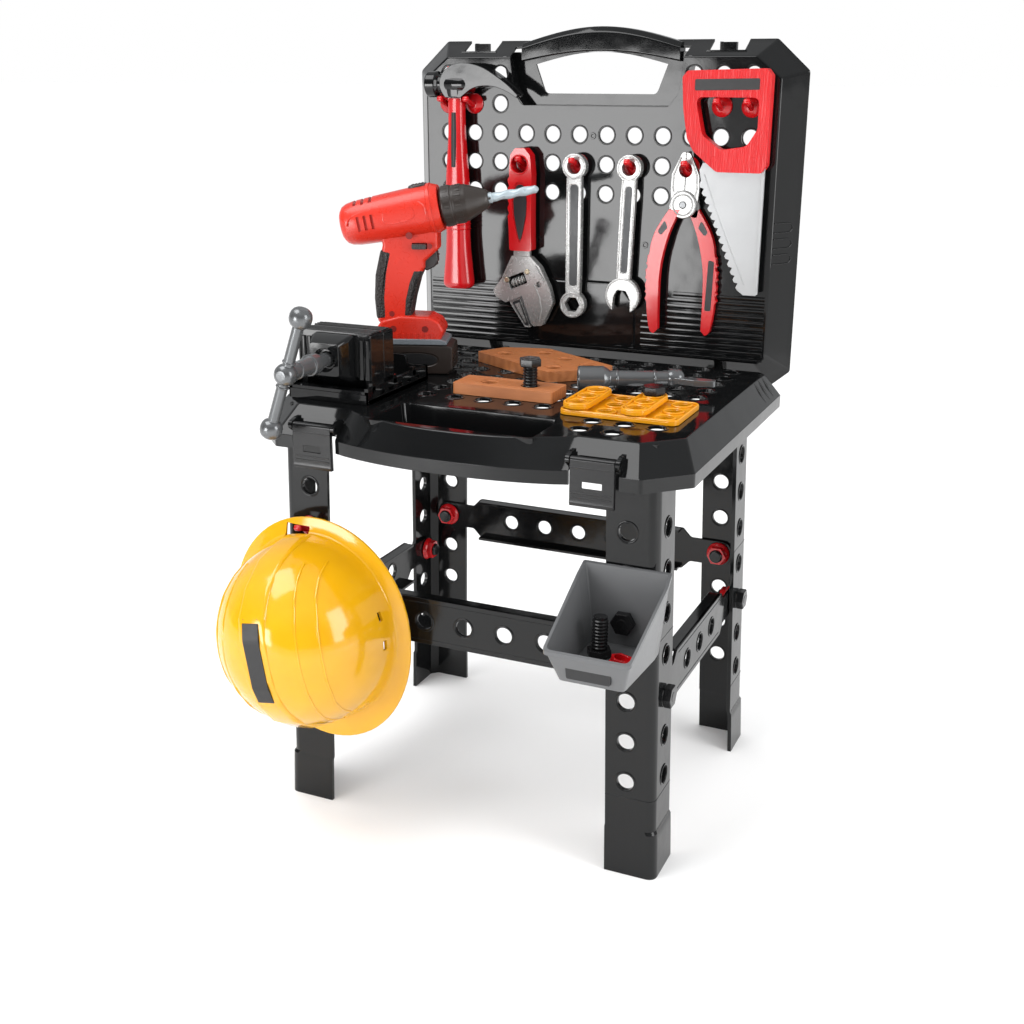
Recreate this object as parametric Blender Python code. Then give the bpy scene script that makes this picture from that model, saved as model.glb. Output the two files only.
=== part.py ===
"""Toy tool bench: a carry case that unfolds into a perforated worktop and a perforated
tool board, on four drilled angle legs with channel braces, with its tools hung on hooks.

Units are metres and +Z is up. Lengths in the tables below are written in millimetres and
turned into metres by MM. The bench stands on z = 0; its front faces -Y.
"""
import math

import bmesh
import bpy
from mathutils import Matrix, Vector

MM = 0.001

# ---- driving dimensions (millimetres) --------------------------------------------------
ORIGIN_SHIFT = (12.3, 206.4)  # moves the bench so that its footprint box is centred on the origin
GAP = 0.3                     # clearance between pieces that touch
PITCH = 30.0                  # hole grid of the worktop and the tool board
LEG_PITCH = 39.7              # hole pitch along a leg
HOLE_R = 8.0                  # every fastening hole takes the same plastic bolt
TOP_Z = 412.0                 # worktop surface
RIM_Z = 376.0                 # lower rim of the worktop
TOP_HALF_X, RIM_HALF_X = 197.0, 212.0
TOP_FRONT_Y, RIM_FRONT_Y = -315.0, -341.0
TOP_REAR_Y, RIM_REAR_Y = -12.0, 4.0
WALL = 3.0
BOARD_Z0 = 582.0              # height of the lowest row of board holes
ROW_STEP = 29.55
LID_DEPTH = 30.0
HINGE_Y, HINGE_Z = 26.0, 368.0
LEG_TOP = 391.0
LEG_X_TOP, LEG_X_FOOT = 184.5, 194.0
LEG_YF_TOP, LEG_YF_FOOT = -316.0, -320.0
LEG_YB_TOP, LEG_YB_FOOT = -19.0, -11.0
FLANGE, CHAMFER, LEG_T = 39.0, 8.0, 4.0
HOLE0_Z = 332.6
ARM_TILT = math.radians(20)
ARM_R = 2.8

for stale in list(bpy.data.objects):
    bpy.data.objects.remove(stale, do_unlink=True)

frame = bpy.data.objects.new("bench_frame", None)
bpy.context.scene.collection.objects.link(frame)
frame.location = (ORIGIN_SHIFT[0] * MM, ORIGIN_SHIFT[1] * MM, 0)


# ---- materials -------------------------------------------------------------------------
def material(name, rgb, rough, metal=0.0):
    made = bpy.data.materials.new(name)
    made.use_nodes = True
    shader = made.node_tree.nodes["Principled BSDF"]
    shader.inputs["Base Color"].default_value = (*rgb, 1)
    shader.inputs["Roughness"].default_value = rough
    shader.inputs["Metallic"].default_value = metal
    made.diffuse_color = (*rgb, 1)
    return made


BLACK = dict(rgb=(0.012, 0.013, 0.014), rough=0.12)
COLOURS = {
    "black_gloss": BLACK,
    "black_satin": dict(rgb=(0.02, 0.02, 0.022), rough=0.35),
    "red_gloss": dict(rgb=(0.62, 0.012, 0.015), rough=0.25),
    "drill_red": dict(rgb=(0.68, 0.035, 0.02), rough=0.35),
    "grip_black": dict(rgb=(0.03, 0.028, 0.027), rough=0.6),
    "silver": dict(rgb=(0.55, 0.55, 0.54), rough=0.3, metal=0.6),
    "grey_plastic": dict(rgb=(0.2, 0.205, 0.21), rough=0.35),
    "mid_grey": dict(rgb=(0.16, 0.165, 0.17), rough=0.4),
    "yellow_helmet": dict(rgb=(0.9, 0.55, 0.01), rough=0.2),
    "yellow_plate": dict(rgb=(0.95, 0.42, 0.01), rough=0.3),
    "wood_brown": dict(rgb=(0.42, 0.15, 0.04), rough=0.5),
}


# ---- shape helpers ---------------------------------------------------------------------
def v(x, y, z):
    return Vector((x * MM, y * MM, z * MM))


def loft(bm, rings):
    """A closed solid through rings of equal count, each a list of points in millimetres."""
    made = [[bm.verts.new(v(*p)) for p in ring] for ring in rings]
    n = len(made[0])
    for a, b in zip(made, made[1:]):
        for i in range(n):
            bm.faces.new((a[i], a[(i + 1) % n], b[(i + 1) % n], b[i]))
    bm.faces.new(list(reversed(made[0])))
    bm.faces.new(made[-1])
    return bm


def prism(bm, outline, axis, low, high):
    """An outline extruded along an axis: (y, z) for x, (x, z) for y, (x, y) for z."""
    place = {
        "x": lambda p, t: (t, p[0], p[1]),
        "y": lambda p, t: (p[0], t, p[1]),
        "z": lambda p, t: (p[0], p[1], t),
    }[axis]
    return loft(bm, [[place(p, low) for p in outline], [place(p, high) for p in outline]])


def box(bm, low, high):
    return prism(bm, [(low[0], low[1]), (high[0], low[1]), (high[0], high[1]), (low[0], high[1])],
                 "z", low[2], high[2])


def basis(direction):
    d = Vector(direction).normalized()
    side = d.cross(Vector((0, 0, 1)))
    if side.length < 1e-3:
        side = Vector((1, 0, 0))
    side.normalize()
    return d, side, side.cross(d)


def turned(bm, start, direction, profile, sides=12, phase=0.0):
    """A turned solid: profile is (distance along the direction, radius) pairs."""
    d, s, u = basis(direction)
    o = Vector(start)
    rings = []
    for t, r in profile:
        ring = []
        for i in range(sides):
            a = phase + 2 * math.pi * i / sides
            ring.append(tuple(o + d * t + s * (r * math.cos(a)) + u * (r * math.sin(a))))
        rings.append(ring)
    return loft(bm, rings)


def rod(bm, a, b, radius, sides=12):
    a, b = Vector(a), Vector(b)
    return turned(bm, a, b - a, [(0, radius), ((b - a).length, radius)], sides)


def hexagon(bm, start, direction, across, height, phase=0.0):
    r = across / math.sqrt(3)
    return turned(bm, start, direction, [(0, r), (height, r)], 6, phase)


def tube_path(bm, points, radii, sides=8):
    """A round bar through points, mitred at each bend."""
    pts = [Vector(p) for p in points]
    _, side, _ = basis(pts[1] - pts[0])
    rings = []
    for i, p in enumerate(pts):
        before = (p - pts[i - 1]).normalized() if i else (pts[1] - p).normalized()
        after = (pts[i + 1] - p).normalized() if i + 1 < len(pts) else before
        t = (before + after).normalized()
        side = (side - t * side.dot(t)).normalized()
        up = side.cross(t)
        r = radii[i] if isinstance(radii, (list, tuple)) else radii
        rings.append([tuple(p + side * (r * math.cos(2 * math.pi * k / sides))
                            + up * (r * math.sin(2 * math.pi * k / sides))) for k in range(sides)])
    return loft(bm, rings)


def arc(cx, cy, r, start, end, n):
    return [(cx + r * math.cos(math.radians(start + (end - start) * i / n)),
             cy + r * math.sin(math.radians(start + (end - start) * i / n))) for i in range(n + 1)]


def clean(bm):
    bmesh.ops.recalc_face_normals(bm, faces=bm.faces)
    if bm.calc_volume(signed=True) < 0:
        bmesh.ops.reverse_faces(bm, faces=bm.faces)
    return bm


def helper(name, shapes):
    """A hidden cutter or adding shape: each builder fills a fresh closed body."""
    mesh = bpy.data.meshes.new(name)
    whole = bmesh.new()
    for shape in shapes:
        one = bmesh.new()
        shape(one)
        clean(one)
        temp = bpy.data.meshes.new("t")
        one.to_mesh(temp)
        one.free()
        whole.from_mesh(temp)
        bpy.data.meshes.remove(temp)
    whole.to_mesh(mesh)
    whole.free()
    obj = bpy.data.objects.new(name, mesh)
    bpy.context.scene.collection.objects.link(obj)
    obj.hide_render = True
    obj.display_type = "WIRE"
    obj.parent = frame
    return obj


MATERIALS = {}


def node(name, shapes, colour, pivot=(0, 0, 0), cuts=(), more=(), smooth=True, turn=None):
    """One piece: its first shape, its added shapes united, then its cuts taken out.

    pivot is the piece's origin in bench millimetres; turn is an extra matrix (in metres)
    applied to every shape, for pieces drawn in a frame of their own.
    """
    if colour not in MATERIALS:
        MATERIALS[colour] = material(colour, **COLOURS[colour])
    mesh = bpy.data.meshes.new(name)
    bm = bmesh.new()
    shapes[0](bm)
    if turn is not None:
        bm.transform(turn)
    clean(bm)
    bm.to_mesh(mesh)
    bm.free()
    obj = bpy.data.objects.new(name, mesh)
    bpy.context.scene.collection.objects.link(obj)
    obj.parent = frame
    mesh.materials.append(MATERIALS[colour])
    at = v(*pivot)
    mesh.transform(Matrix.Translation(-at))
    obj.location = at

    def combine(kind, index, builders):
        tool = helper(f"{name}_{kind.lower()}_{index}", builders)
        if turn is not None:
            tool.data.transform(turn)
        mod = obj.modifiers.new(f"{kind.lower()}_{index}", "BOOLEAN")
        mod.operation = kind
        mod.object = tool
        mod.solver = "EXACT"
        mod.use_self = False

    for i, extra in enumerate(list(shapes[1:])):
        combine("UNION", i, [extra])
    for i, cut in enumerate(cuts):
        combine("DIFFERENCE", i, cut if isinstance(cut, (list, tuple)) else [cut])
    for i, extra in enumerate(more):
        combine("UNION", 50 + i, [extra])
    if smooth:
        mesh.shade_smooth()
        mesh.set_sharp_from_angle(angle=math.radians(35))
    return obj


def hole(x, y, z, axis, length=20.0, radius=HOLE_R, sides=8, phase=math.pi / 8):
    d = {"x": (1, 0, 0), "y": (0, 1, 0), "z": (0, 0, 1)}[axis]
    start = Vector((x, y, z)) - Vector(d) * (length / 2)
    return lambda bm: turned(bm, start, d, [(0, radius), (length, radius)], sides, phase)


# ---- worktop ---------------------------------------------------------------------------
def top_outline(half_x, front, rear, chamfer, bulge, inset=0.0):
    """The case outline: chamfered front corners and a front edge that bows out in the middle."""
    hx, f, r = half_x - inset, front + inset, rear - inset
    c = chamfer - inset * 0.4
    right = [(0.0, f - bulge), (60.0, f - bulge * 0.93), (92.0, f - bulge * 0.45), (112.0, f)]
    right += [(hx - c, f), (hx, f + c), (hx, r - 6), (hx - 6, r)]
    left = [(-x, y) for x, y in reversed(right[1:])]
    return right + left


def worktop_outer(bm):
    levels = [(RIM_Z, RIM_HALF_X, RIM_FRONT_Y, RIM_REAR_Y, 35, 17),
              (388.0, RIM_HALF_X, RIM_FRONT_Y, RIM_REAR_Y, 35, 17),
              (TOP_Z, TOP_HALF_X, TOP_FRONT_Y, TOP_REAR_Y, 30, 33)]
    loft(bm, [[(x, y, z) for x, y in top_outline(hx, f, r, c, b)] for z, hx, f, r, c, b in levels])


def worktop_cavity(bm):
    levels = [(RIM_Z - 1, RIM_HALF_X, RIM_FRONT_Y, RIM_REAR_Y, 35, 17, WALL),
              (388.0, RIM_HALF_X, RIM_FRONT_Y, RIM_REAR_Y, 35, 17, WALL),
              (TOP_Z - WALL, TOP_HALF_X + 1.9, TOP_FRONT_Y - 3.2, TOP_REAR_Y + 2, 30, 31, WALL)]
    loft(bm, [[(x, y, z) for x, y in top_outline(hx, f, r, c, b, w)] for z, hx, f, r, c, b, w in levels])


TRAY = dict(x=79.0, back=-272.0, front=-338.0, floor=384.0)


def tray_block(bm):
    t = TRAY
    loft(bm, [[(-t["x"] - 3 + s, t["back"] + 3 - s, z), (t["x"] + 3 - s, t["back"] + 3 - s, z),
               (t["x"] + 3 - s, t["front"] - 2 + s, z), (-t["x"] - 3 + s, t["front"] - 2 + s, z)]
              for z, s in ((t["floor"] - 2.5, 5.0), (TOP_Z - 1.0, 0.0))])


def tray_hollow(bm):
    t = TRAY
    loft(bm, [[(-t["x"] + s, t["back"] - s, z), (t["x"] - s, t["back"] - s, z),
               (t["x"] - s, t["front"] + s, z), (-t["x"] + s, t["front"] + s, z)]
              for z, s in ((t["floor"], 5.0), (TOP_Z + 2, -0.3))])


def worktop_holes():
    made = []
    for i in range(12):
        for k in range(10):
            x, y = -165 + PITCH * i, -25 - PITCH * k
            if y < -240 and abs(x) < 100:
                continue
            if y < -170 and x < -95:
                continue
            if y < -290 and abs(x) > 150:
                continue
            made.append(hole(x, y, TOP_Z, "z", 14))
    return made


def leg_socket(sx, front):
    x0, x1 = (150, 180) if sx > 0 else (-180, -150)
    y0, y1 = (-310, -278) if front else (-56, -24)
    return lambda bm: box(bm, (x0, y0, LEG_TOP + GAP), (x1, y1, TOP_Z - 1.5))


def hinge_ear(sx):
    x0, x1 = sx * 128.6, sx * 138
    outline = [(-1, RIM_Z + 4), (-1, 364), (HINGE_Y, HINGE_Z - 6)] + \
        arc(HINGE_Y, HINGE_Z, 6, -60, 90, 4) + [(1.5, 384)]
    return lambda bm: prism(bm, outline, "x", min(x0, x1), max(x0, x1))


def latch_ear(x0, x1):
    outline = [(-338, 392), (-341, 394), (-345.5, 396), (-345.5, 402), (-341, 405), (-318, 405), (-318, 396)]
    return lambda bm: prism(bm, outline, "x", x0, x1)


LATCH_X = 135.5
LATCH_AXIS = (-341.5, 399.0)
ears = []
for sx in (-1, 1):
    a, b = sorted((sx * 111.5, sx * 115.2))
    c, d = sorted((sx * 155.8, sx * 159.5))
    ears += [latch_ear(a, b), latch_ear(c, d)]

node("worktop", [worktop_outer, tray_block], "black_gloss",
     cuts=[[worktop_cavity]],
     more=[tray_block] + [leg_socket(sx, f) for sx in (-1, 1) for f in (True, False)]
     + [hinge_ear(-1), hinge_ear(1)] + ears)
worktop = bpy.data.objects["worktop"]


def late_cut(obj, label, builders):
    """A cut made after every union on the piece."""
    tool = helper(f"{obj.name}_{label}", builders)
    mod = obj.modifiers.new(label, "BOOLEAN")
    mod.operation = "DIFFERENCE"
    mod.object = tool
    mod.solver = "EXACT"


late_cut(worktop, "tray", [tray_hollow])
late_cut(worktop, "perforation", worktop_holes())
late_cut(worktop, "pin_holes",
         [hole(sx * 133.3, HINGE_Y, HINGE_Z, "x", 16, 3.2, 10) for sx in (-1, 1)]
         + [hole(sx * x, LATCH_AXIS[0], LATCH_AXIS[1], "x", 8, 1.9, 8) for sx in (-1, 1) for x in (113.3, 157.7)])


# ---- latches ---------------------------------------------------------------------------
def latch(name, sx):
    xa, xb = sx * LATCH_X - 19.8, sx * LATCH_X + 19.8
    ya = LATCH_AXIS[0]
    node(name, [lambda bm: prism(bm, [(ya - 3.4, 399), (ya - 3.4, 362), (ya - 2.2, 359.5), (ya + .2, 359.5),
                                      (ya + .2, 394), (ya + 3, 399), (ya, 402.2)], "x", xa, xb),
                lambda bm: rod(bm, (xa - 3.2, ya, LATCH_AXIS[1]), (xb + 3.2, ya, LATCH_AXIS[1]), 1.5, 8)],
         "black_satin", pivot=(sx * LATCH_X, ya, LATCH_AXIS[1]),
         cuts=[[lambda bm: box(bm, (sx * LATCH_X - 9, ya - 8, 372), (sx * LATCH_X + 9, ya + 6, 379))]])


latch("latch_left", -1)
latch("latch_right", 1)


# ---- lid: the tool board ---------------------------------------------------------------
RECESS_Z = 669.0


def lid_outline(half_x, top, bottom, ctop, cbot, top_drop):
    return [(-half_x + cbot, bottom), (half_x - cbot, bottom), (half_x, bottom + cbot * 0.85),
            (half_x, top - ctop * top_drop), (half_x - ctop, top), (-half_x + ctop, top),
            (-half_x, top - ctop * top_drop), (-half_x, bottom + cbot * 0.85)]


def lid_outer(bm):
    a = lid_outline(192, 717, 418, 25, 10, 0.8)
    b = lid_outline(213, 733.5, 390, 33, 19, 0.9)
    loft(bm, [[(x, 0, z) for x, z in a], [(x, LID_DEPTH, z) for x, z in b]])


def lid_cavity(bm):
    a = lid_outline(192 - 1.2, 717 - 1.2, 418 + 1.2, 25, 10, 0.8)
    b = lid_outline(213 - 2.6, 733.5 - 2.6, 390 + 2.6, 33, 19, 0.9)
    f = 3.0 / LID_DEPTH
    near = [((1 - f) * p[0] + f * q[0], (1 - f) * p[1] + f * q[1]) for p, q in zip(a, b)]
    far = [(q[0] + (q[0] - p[0]) / LID_DEPTH, q[1] + (q[1] - p[1]) / LID_DEPTH) for p, q in zip(a, b)]
    loft(bm, [[(x, 3.0, z) for x, z in near], [(x, LID_DEPTH + 1, z) for x, z in far]])


def recess(x, z0, y0, y1, ztop=760.0):
    return lambda bm: prism(bm, [(-x, z0 + 14), (-x + 10, z0), (x - 10, z0), (x, z0 + 14), (x + 9, ztop), (-x - 9, ztop)],
                            "y", y0, y1)


def grip_bar(bm):
    n = 12
    outer = [(-88 + 176 * i / n, 731 + 15.5 * math.cos(math.pi / 2 * (-1 + 2 * i / n))) for i in range(n + 1)]
    inner = [(72 - 144 * i / n, 710 + 12 * math.cos(math.pi / 2 * (-1 + 2 * i / n))) for i in range(n + 1)]
    prism(bm, [(-88, 700)] + outer + [(88, 700), (72, 700)] + inner + [(-72, 700)], "y", 12, LID_DEPTH)


def grip_window(bm):
    n = 10
    inner = [(72 - 144 * i / n, 710 + 12 * math.cos(math.pi / 2 * (-1 + 2 * i / n))) for i in range(n + 1)]
    prism(bm, [(-61, 681), (61, 681)] + inner, "y", -5, LID_DEPTH + 5)


def lid_holes():
    made = []
    for i in range(12):
        for row in range(5):
            if row >= 3 and 3 <= i <= 8:
                continue
            made.append(hole(-165 + PITCH * i, 1.5, BOARD_Z0 + ROW_STEP * row, "y", 9, 7.9, 8))
    return made


def lid_notch(sx):
    x = sx * 134
    return lambda bm: prism(bm, [(x - 18, 738), (x - 18, 723), (x + 18, 723), (x + 18, 738)], "y", 8, 40)


def lid_tab(sx):
    x = sx * 134
    return lambda bm: box(bm, (x - 8, 16, 718), (x + 8, 22, 730.5))


def lid_ear(sx):
    x0, x1 = sorted((sx * 120, sx * 128.2))
    outline = [(30, 392), (18, 402), (20.2, HINGE_Z)] + arc(HINGE_Y, HINGE_Z, 5.8, -180, 0, 5) + [(31.8, 385)]
    return lambda bm: prism(bm, outline, "x", x0, x1)


def lid_pin(sx):
    x0, x1 = sorted((sx * 125, sx * 137.5))
    return lambda bm: rod(bm, (x0, HINGE_Y, HINGE_Z), (x1, HINGE_Y, HINGE_Z), 2.8, 10)


lid = node("tool_board", [lid_outer], "black_gloss", pivot=(0, HINGE_Y, HINGE_Z),
           cuts=[[lid_cavity], [recess(90, RECESS_Z, -2, 19)]])


def late_union(obj, label, builder):
    tool = helper(f"{obj.name}_{label}", [builder])
    mod = obj.modifiers.new(label, "BOOLEAN")
    mod.operation = "UNION"
    mod.object = tool
    mod.solver = "EXACT"


late_union(lid, "recess_floor", lambda bm: prism(
    bm, [(-83, RECESS_Z - 2), (83, RECESS_Z - 2), (96, 700), (101, 722), (-101, 722), (-96, 700)], "y", 18.5, 21.5))
late_union(lid, "recess_sill", lambda bm: prism(
    bm, [(0, RECESS_Z + .5), (0, RECESS_Z - 3), (21, RECESS_Z - 3), (21, RECESS_Z + .5)], "x", -80, 80))
for k, sx in enumerate((-1, 1)):
    late_union(lid, f"recess_cheek_{k}", lambda bm, sx=sx: prism(
        bm, [(sx * 79, RECESS_Z + 1), (sx * 82.5, RECESS_Z - 3), (sx * 94, RECESS_Z + 12), (sx * 102, 718), (sx * 98.5, 718),
             (sx * 90, RECESS_Z + 14)], "y", 0.5, 21))
late_union(lid, "grip", grip_bar)
late_cut(lid, "grip_window", [grip_window])
late_cut(lid, "holes", lid_holes())
late_cut(lid, "notches", [lid_notch(-1), lid_notch(1)])
for k, sx in enumerate((-1, 1)):
    late_union(lid, f"tab_{k}", lid_tab(sx))
    late_union(lid, f"notch_floor_{k}", lambda bm, sx=sx: box(bm, (sx * 134 - 20, 8, 720.3), (sx * 134 + 20, 29, 723)))
    late_union(lid, f"ear_{k}", lid_ear(sx))
    late_union(lid, f"pin_{k}", lid_pin(sx))


# ---- hooks -----------------------------------------------------------------------------
def hook(name, x, z, face_y):
    """A domed flange with a stem in the board hole, and an arm that rises to a cross tip."""
    z1 = z - 3.0

    def arm_point(t):
        return (x, face_y - t * math.cos(ARM_TILT), z1 + t * math.sin(ARM_TILT))

    node(name, [lambda bm: turned(bm, (x, face_y + 6.5, z), (0, -1, 0),
                                  [(0, 6.6), (8.0, 6.6)], 8, math.pi / 8),
                lambda bm: turned(bm, (x, face_y - GAP, z), (0, -1, 0), [(0, 10.5), (1.6, 10.0), (4.2, 4.0)], 10),
                lambda bm: tube_path(bm, [(x, face_y + 2, z - 3.6), arm_point(3), arm_point(23)], ARM_R, 6),
                lambda bm: rod(bm, Vector(arm_point(23.0)) + Vector((-3.2, 0, 0)),
                               Vector(arm_point(23.0)) + Vector((3.2, 0, 0)), 2.9, 6)],
         "red_gloss", pivot=(x, face_y, z))


ROW_B, ROW_D = BOARD_Z0 + 3 * ROW_STEP, BOARD_Z0 + ROW_STEP
hook("hook_hammer_left", -165, ROW_B, 0)
hook("hook_hammer_right", -135, ROW_B, 0)
hook("hook_spanner", -75, ROW_D, 0)
hook("hook_ring_spanner", -15, ROW_D, 0)
hook("hook_combination_spanner", 45, ROW_D, 0)
hook("hook_pliers", 105, ROW_D, 0)
hook("hook_saw_left", 135, ROW_B, 0)
hook("hook_saw_right", 165, ROW_B, 0)


# ---- legs ------------------------------------------------------------------------------
def leg_corner(z, front):
    f = z / LEG_TOP
    x = LEG_X_FOOT + (LEG_X_TOP - LEG_X_FOOT) * f
    y = (LEG_YF_FOOT + (LEG_YF_TOP - LEG_YF_FOOT) * f) if front else (LEG_YB_FOOT + (LEG_YB_TOP - LEG_YB_FOOT) * f)
    return x, y


def angle_section(z, sx, front, grow=0.0):
    """The L outline at a height: two flanges with a chamfered outer corner."""
    x, y = leg_corner(z, front)
    sy = 1 if front else -1
    x += grow
    t, c, w = LEG_T, CHAMFER, FLANGE + CHAMFER + grow
    pts = [(x - w, y), (x - c, y), (x, y + sy * c), (x, y + sy * w), (x - t, y + sy * w),
           (x - t, y + sy * (c + 1.6)), (x - c - 1.6, y + sy * t), (x - w, y + sy * t)]
    y_shift = -sy * grow
    return [(sx * px, py + y_shift, z) for px, py in pts]


def leg(name, sx, front):
    rings = [angle_section(0, sx, front, 2.2), angle_section(40, sx, front, 1.6), angle_section(47, sx, front, 0.0),
             angle_section(LEG_TOP, sx, front)]
    sy = 1 if front else -1
    cuts = []
    for k in range(7):
        z = HOLE0_Z - LEG_PITCH * k
        x, y = leg_corner(z, front)
        cuts.append(hole(sx * (x - CHAMFER - FLANGE / 2), y, z, "y", 16))
        cuts.append(hole(sx * x, y + sy * (CHAMFER + FLANGE / 2), z, "x", 16))
    node(name, [lambda bm: loft(bm, rings)], "black_gloss", cuts=[cuts])


leg("leg_front_left", -1, True)
leg("leg_front_right", 1, True)
leg("leg_back_left", -1, False)
leg("leg_back_right", 1, False)


# ---- braces ----------------------------------------------------------------------------
BRACE_H, BRACE_D, TAB_H = 46.0, 13.0, 27.0


def brace_outline(half, end, z):
    h, t = BRACE_H / 2, TAB_H / 2
    return [(-end, z - t), (-half - 9, z - t), (-half, z - h), (half, z - h), (half + 9, z - t), (end, z - t),
            (end, z + t), (half + 9, z + t), (half, z + h), (-half, z + h), (-half - 9, z + t), (-end, z + t)]


def channel(name, mid, half, end, z, along, face, inward, tab_holes):
    """A channel bar: a drilled web, two flanges turned inward and flat end tabs."""
    other = {"x": "y", "y": "x"}[along]
    web = sorted((face, face + inward * 3.0))
    back = sorted((face + inward * 1.0, face + inward * BRACE_D))

    def shifted(points):
        return [(p + mid, q) for p, q in points]

    def bar(z0, z1):
        return lambda bm: prism(bm, shifted([(-half + 2, z0), (half - 2, z0), (half - 2, z1), (-half + 2, z1)]), other, *back)

    def at(u, zz):
        return hole(u + mid, face, zz, "y", 16) if along == "x" else hole(face, u + mid, zz, "x", 16)

    spots = [-82.0, -41.0, 0.0, 41.0, 82.0] if half > 100 else [-41.0, 0.0, 41.0]
    node(name, [lambda bm: prism(bm, shifted(brace_outline(half, end, z)), other, *web),
                bar(z + BRACE_H / 2 - 3, z + BRACE_H / 2), bar(z - BRACE_H / 2, z - BRACE_H / 2 + 3)],
         "black_gloss", cuts=[[at(u, z) for u in spots] + [at(u, z) for u in tab_holes]])


Z3, Z4 = HOLE0_Z - 3 * LEG_PITCH, HOLE0_Z - 4 * LEG_PITCH
xf3, yf3 = leg_corner(Z3, True)
_, yb3 = leg_corner(Z3, False)
x4, yf4 = leg_corner(Z4, True)
_, yb4 = leg_corner(Z4, False)
HOLE_X3 = xf3 - CHAMFER - FLANGE / 2
HOLE_Y4F, HOLE_Y4B = yf4 + CHAMFER + FLANGE / 2, yb4 - CHAMFER - FLANGE / 2
FACE_F = yf3 + LEG_T + GAP + 0.3
FACE_B = yb3 - LEG_T - GAP - 0.5
FACE_S = x4 - LEG_T - GAP - 0.7
MID_Y = (HOLE_Y4F + HOLE_Y4B) / 2
REACH_Y = (HOLE_Y4B - HOLE_Y4F) / 2
channel("brace_front", 0, 121, HOLE_X3 + 13.5, Z3, "x", FACE_F, 1, (-HOLE_X3, HOLE_X3))
channel("brace_back", 0, 121, HOLE_X3 + 13.5, Z3, "x", FACE_B, -1, (-HOLE_X3, HOLE_X3))
channel("brace_left", MID_Y, 76, REACH_Y + 13.5, Z4, "y", -FACE_S, 1, (-REACH_Y, REACH_Y))
channel("brace_right", MID_Y, 76, REACH_Y + 13.5, Z4, "y", FACE_S, -1, (-REACH_Y, REACH_Y))


# ---- bolts with their flanged nuts -----------------------------------------------------
def bolt(name, at, direction, grip, tail=9.0, nut=True):
    """A hex bolt through a joint, and the flanged nut on its tail. at is the head's seat."""
    d = Vector(direction)
    p = Vector(at)
    shapes = [lambda bm: hexagon(bm, p - d * 7.5, d, 19, 7.5 - GAP),
              lambda bm: turned(bm, p - d * 4, d, [(0, 6.9), (4 + grip + tail + 4, 6.9)], 8, math.pi / 8)]
    if nut:
        q = p + d * (grip + GAP)
        shapes.append(lambda bm: turned(bm, q, d, [(0, 12.5), (3.2, 11.6)], 10))
        shapes.append(lambda bm: hexagon(bm, q + d * 1.0, d, 18, 8.5))
    node(name, shapes, "black_satin", pivot=at)


for tag, sx in (("left", -1), ("right", 1)):
    bolt(f"bolt_front_{tag}", (sx * HOLE_X3, yf3 - 0.2, Z3), (0, 1, 0), LEG_T + 3.0 + 1.0)
    bolt(f"bolt_back_{tag}", (sx * HOLE_X3, yb3 + 0.2, Z3), (0, -1, 0), LEG_T + 3.0 + 1.2)
    bolt(f"bolt_side_front_{tag}", (sx * (x4 + 0.3), HOLE_Y4F, Z4), (-sx, 0, 0), LEG_T + 3.0 + 1.5)
    bolt(f"bolt_side_back_{tag}", (sx * (x4 + 0.3), HOLE_Y4B, Z4), (-sx, 0, 0), LEG_T + 3.0 + 1.5)


# ---- parts bin on the front right leg --------------------------------------------------
BIN_X = leg_corner(HOLE0_Z - 2 * LEG_PITCH, True)[0] - CHAMFER - FLANGE / 2
BIN_BACK = leg_corner(303, True)[1] - 2.4


def bin_ring(z_back, z_front, half_back, half_front, back, front, grow=0.0):
    hb, hf = half_back - grow, half_front - grow
    b, f = back - grow, front + grow
    return [(BIN_X - hb, b, z_back), (BIN_X + hb, b, z_back), (BIN_X + hb + 1, b - 14, z_back - 8),
            (BIN_X + hf, f, z_front), (BIN_X - hf, f, z_front), (BIN_X - hb - 1, b - 14, z_back - 8)]


node("parts_bin", [lambda bm: loft(bm, [bin_ring(228, 228, 31, 29, BIN_BACK - 1, -404),
                                        bin_ring(303, 258, 40, 38, BIN_BACK, -417)])],
     "mid_grey", pivot=(BIN_X, BIN_BACK, 253),
     cuts=[[lambda bm: loft(bm, [bin_ring(230.5, 230.5, 31, 29, BIN_BACK - 1, -404, 2.6),
                                 bin_ring(304.5, 259.5, 40, 38, BIN_BACK, -417, 2.4)])],
           [hole(BIN_X, BIN_BACK, HOLE0_Z - 2 * LEG_PITCH, "y", 12, 7.6)]])
bolt("bolt_bin", (BIN_X, BIN_BACK - 4.4, HOLE0_Z - 2 * LEG_PITCH), (0, 1, 0), 10.3)


# ---- helmet on the front left leg ------------------------------------------------------
HH_Z = HOLE0_Z - LEG_PITCH
hx1, hy1 = leg_corner(HH_Z, True)
HH_X = -(hx1 - CHAMFER - FLANGE / 2)
hook("hook_helmet", HH_X, HH_Z, hy1 - 0.2)

HELMET_C = (-141.0, -333.5, 205.0)
HELMET_ROLL = math.radians(9.0)


def helmet_outline(angle, a_front, a_back, b):
    """Plan outline: angle 0 is the peak, 180 the rear."""
    c, s = math.cos(angle), math.sin(angle)
    a = a_front if c > 0 else a_back
    return a * c, b * s


def helmet_point(u, w, h):
    """Helmet frame to bench: u towards the peak (down), w across, h towards the crown (out)."""
    c, s = math.cos(HELMET_ROLL), math.sin(HELMET_ROLL)
    x, z = w * c + u * s, -u * c + w * s
    return (HELMET_C[0] + x, HELMET_C[1] - h, HELMET_C[2] + z)


def helmet_ring(peak, rear, half, h, n=22):
    """One plan outline of the helmet at a height h above its rim plane."""
    out = []
    for i in range(n):
        u, w = helmet_outline(2 * math.pi * i / n, peak, rear, half)
        out.append(helmet_point(u, w, h))
    return out


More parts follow.
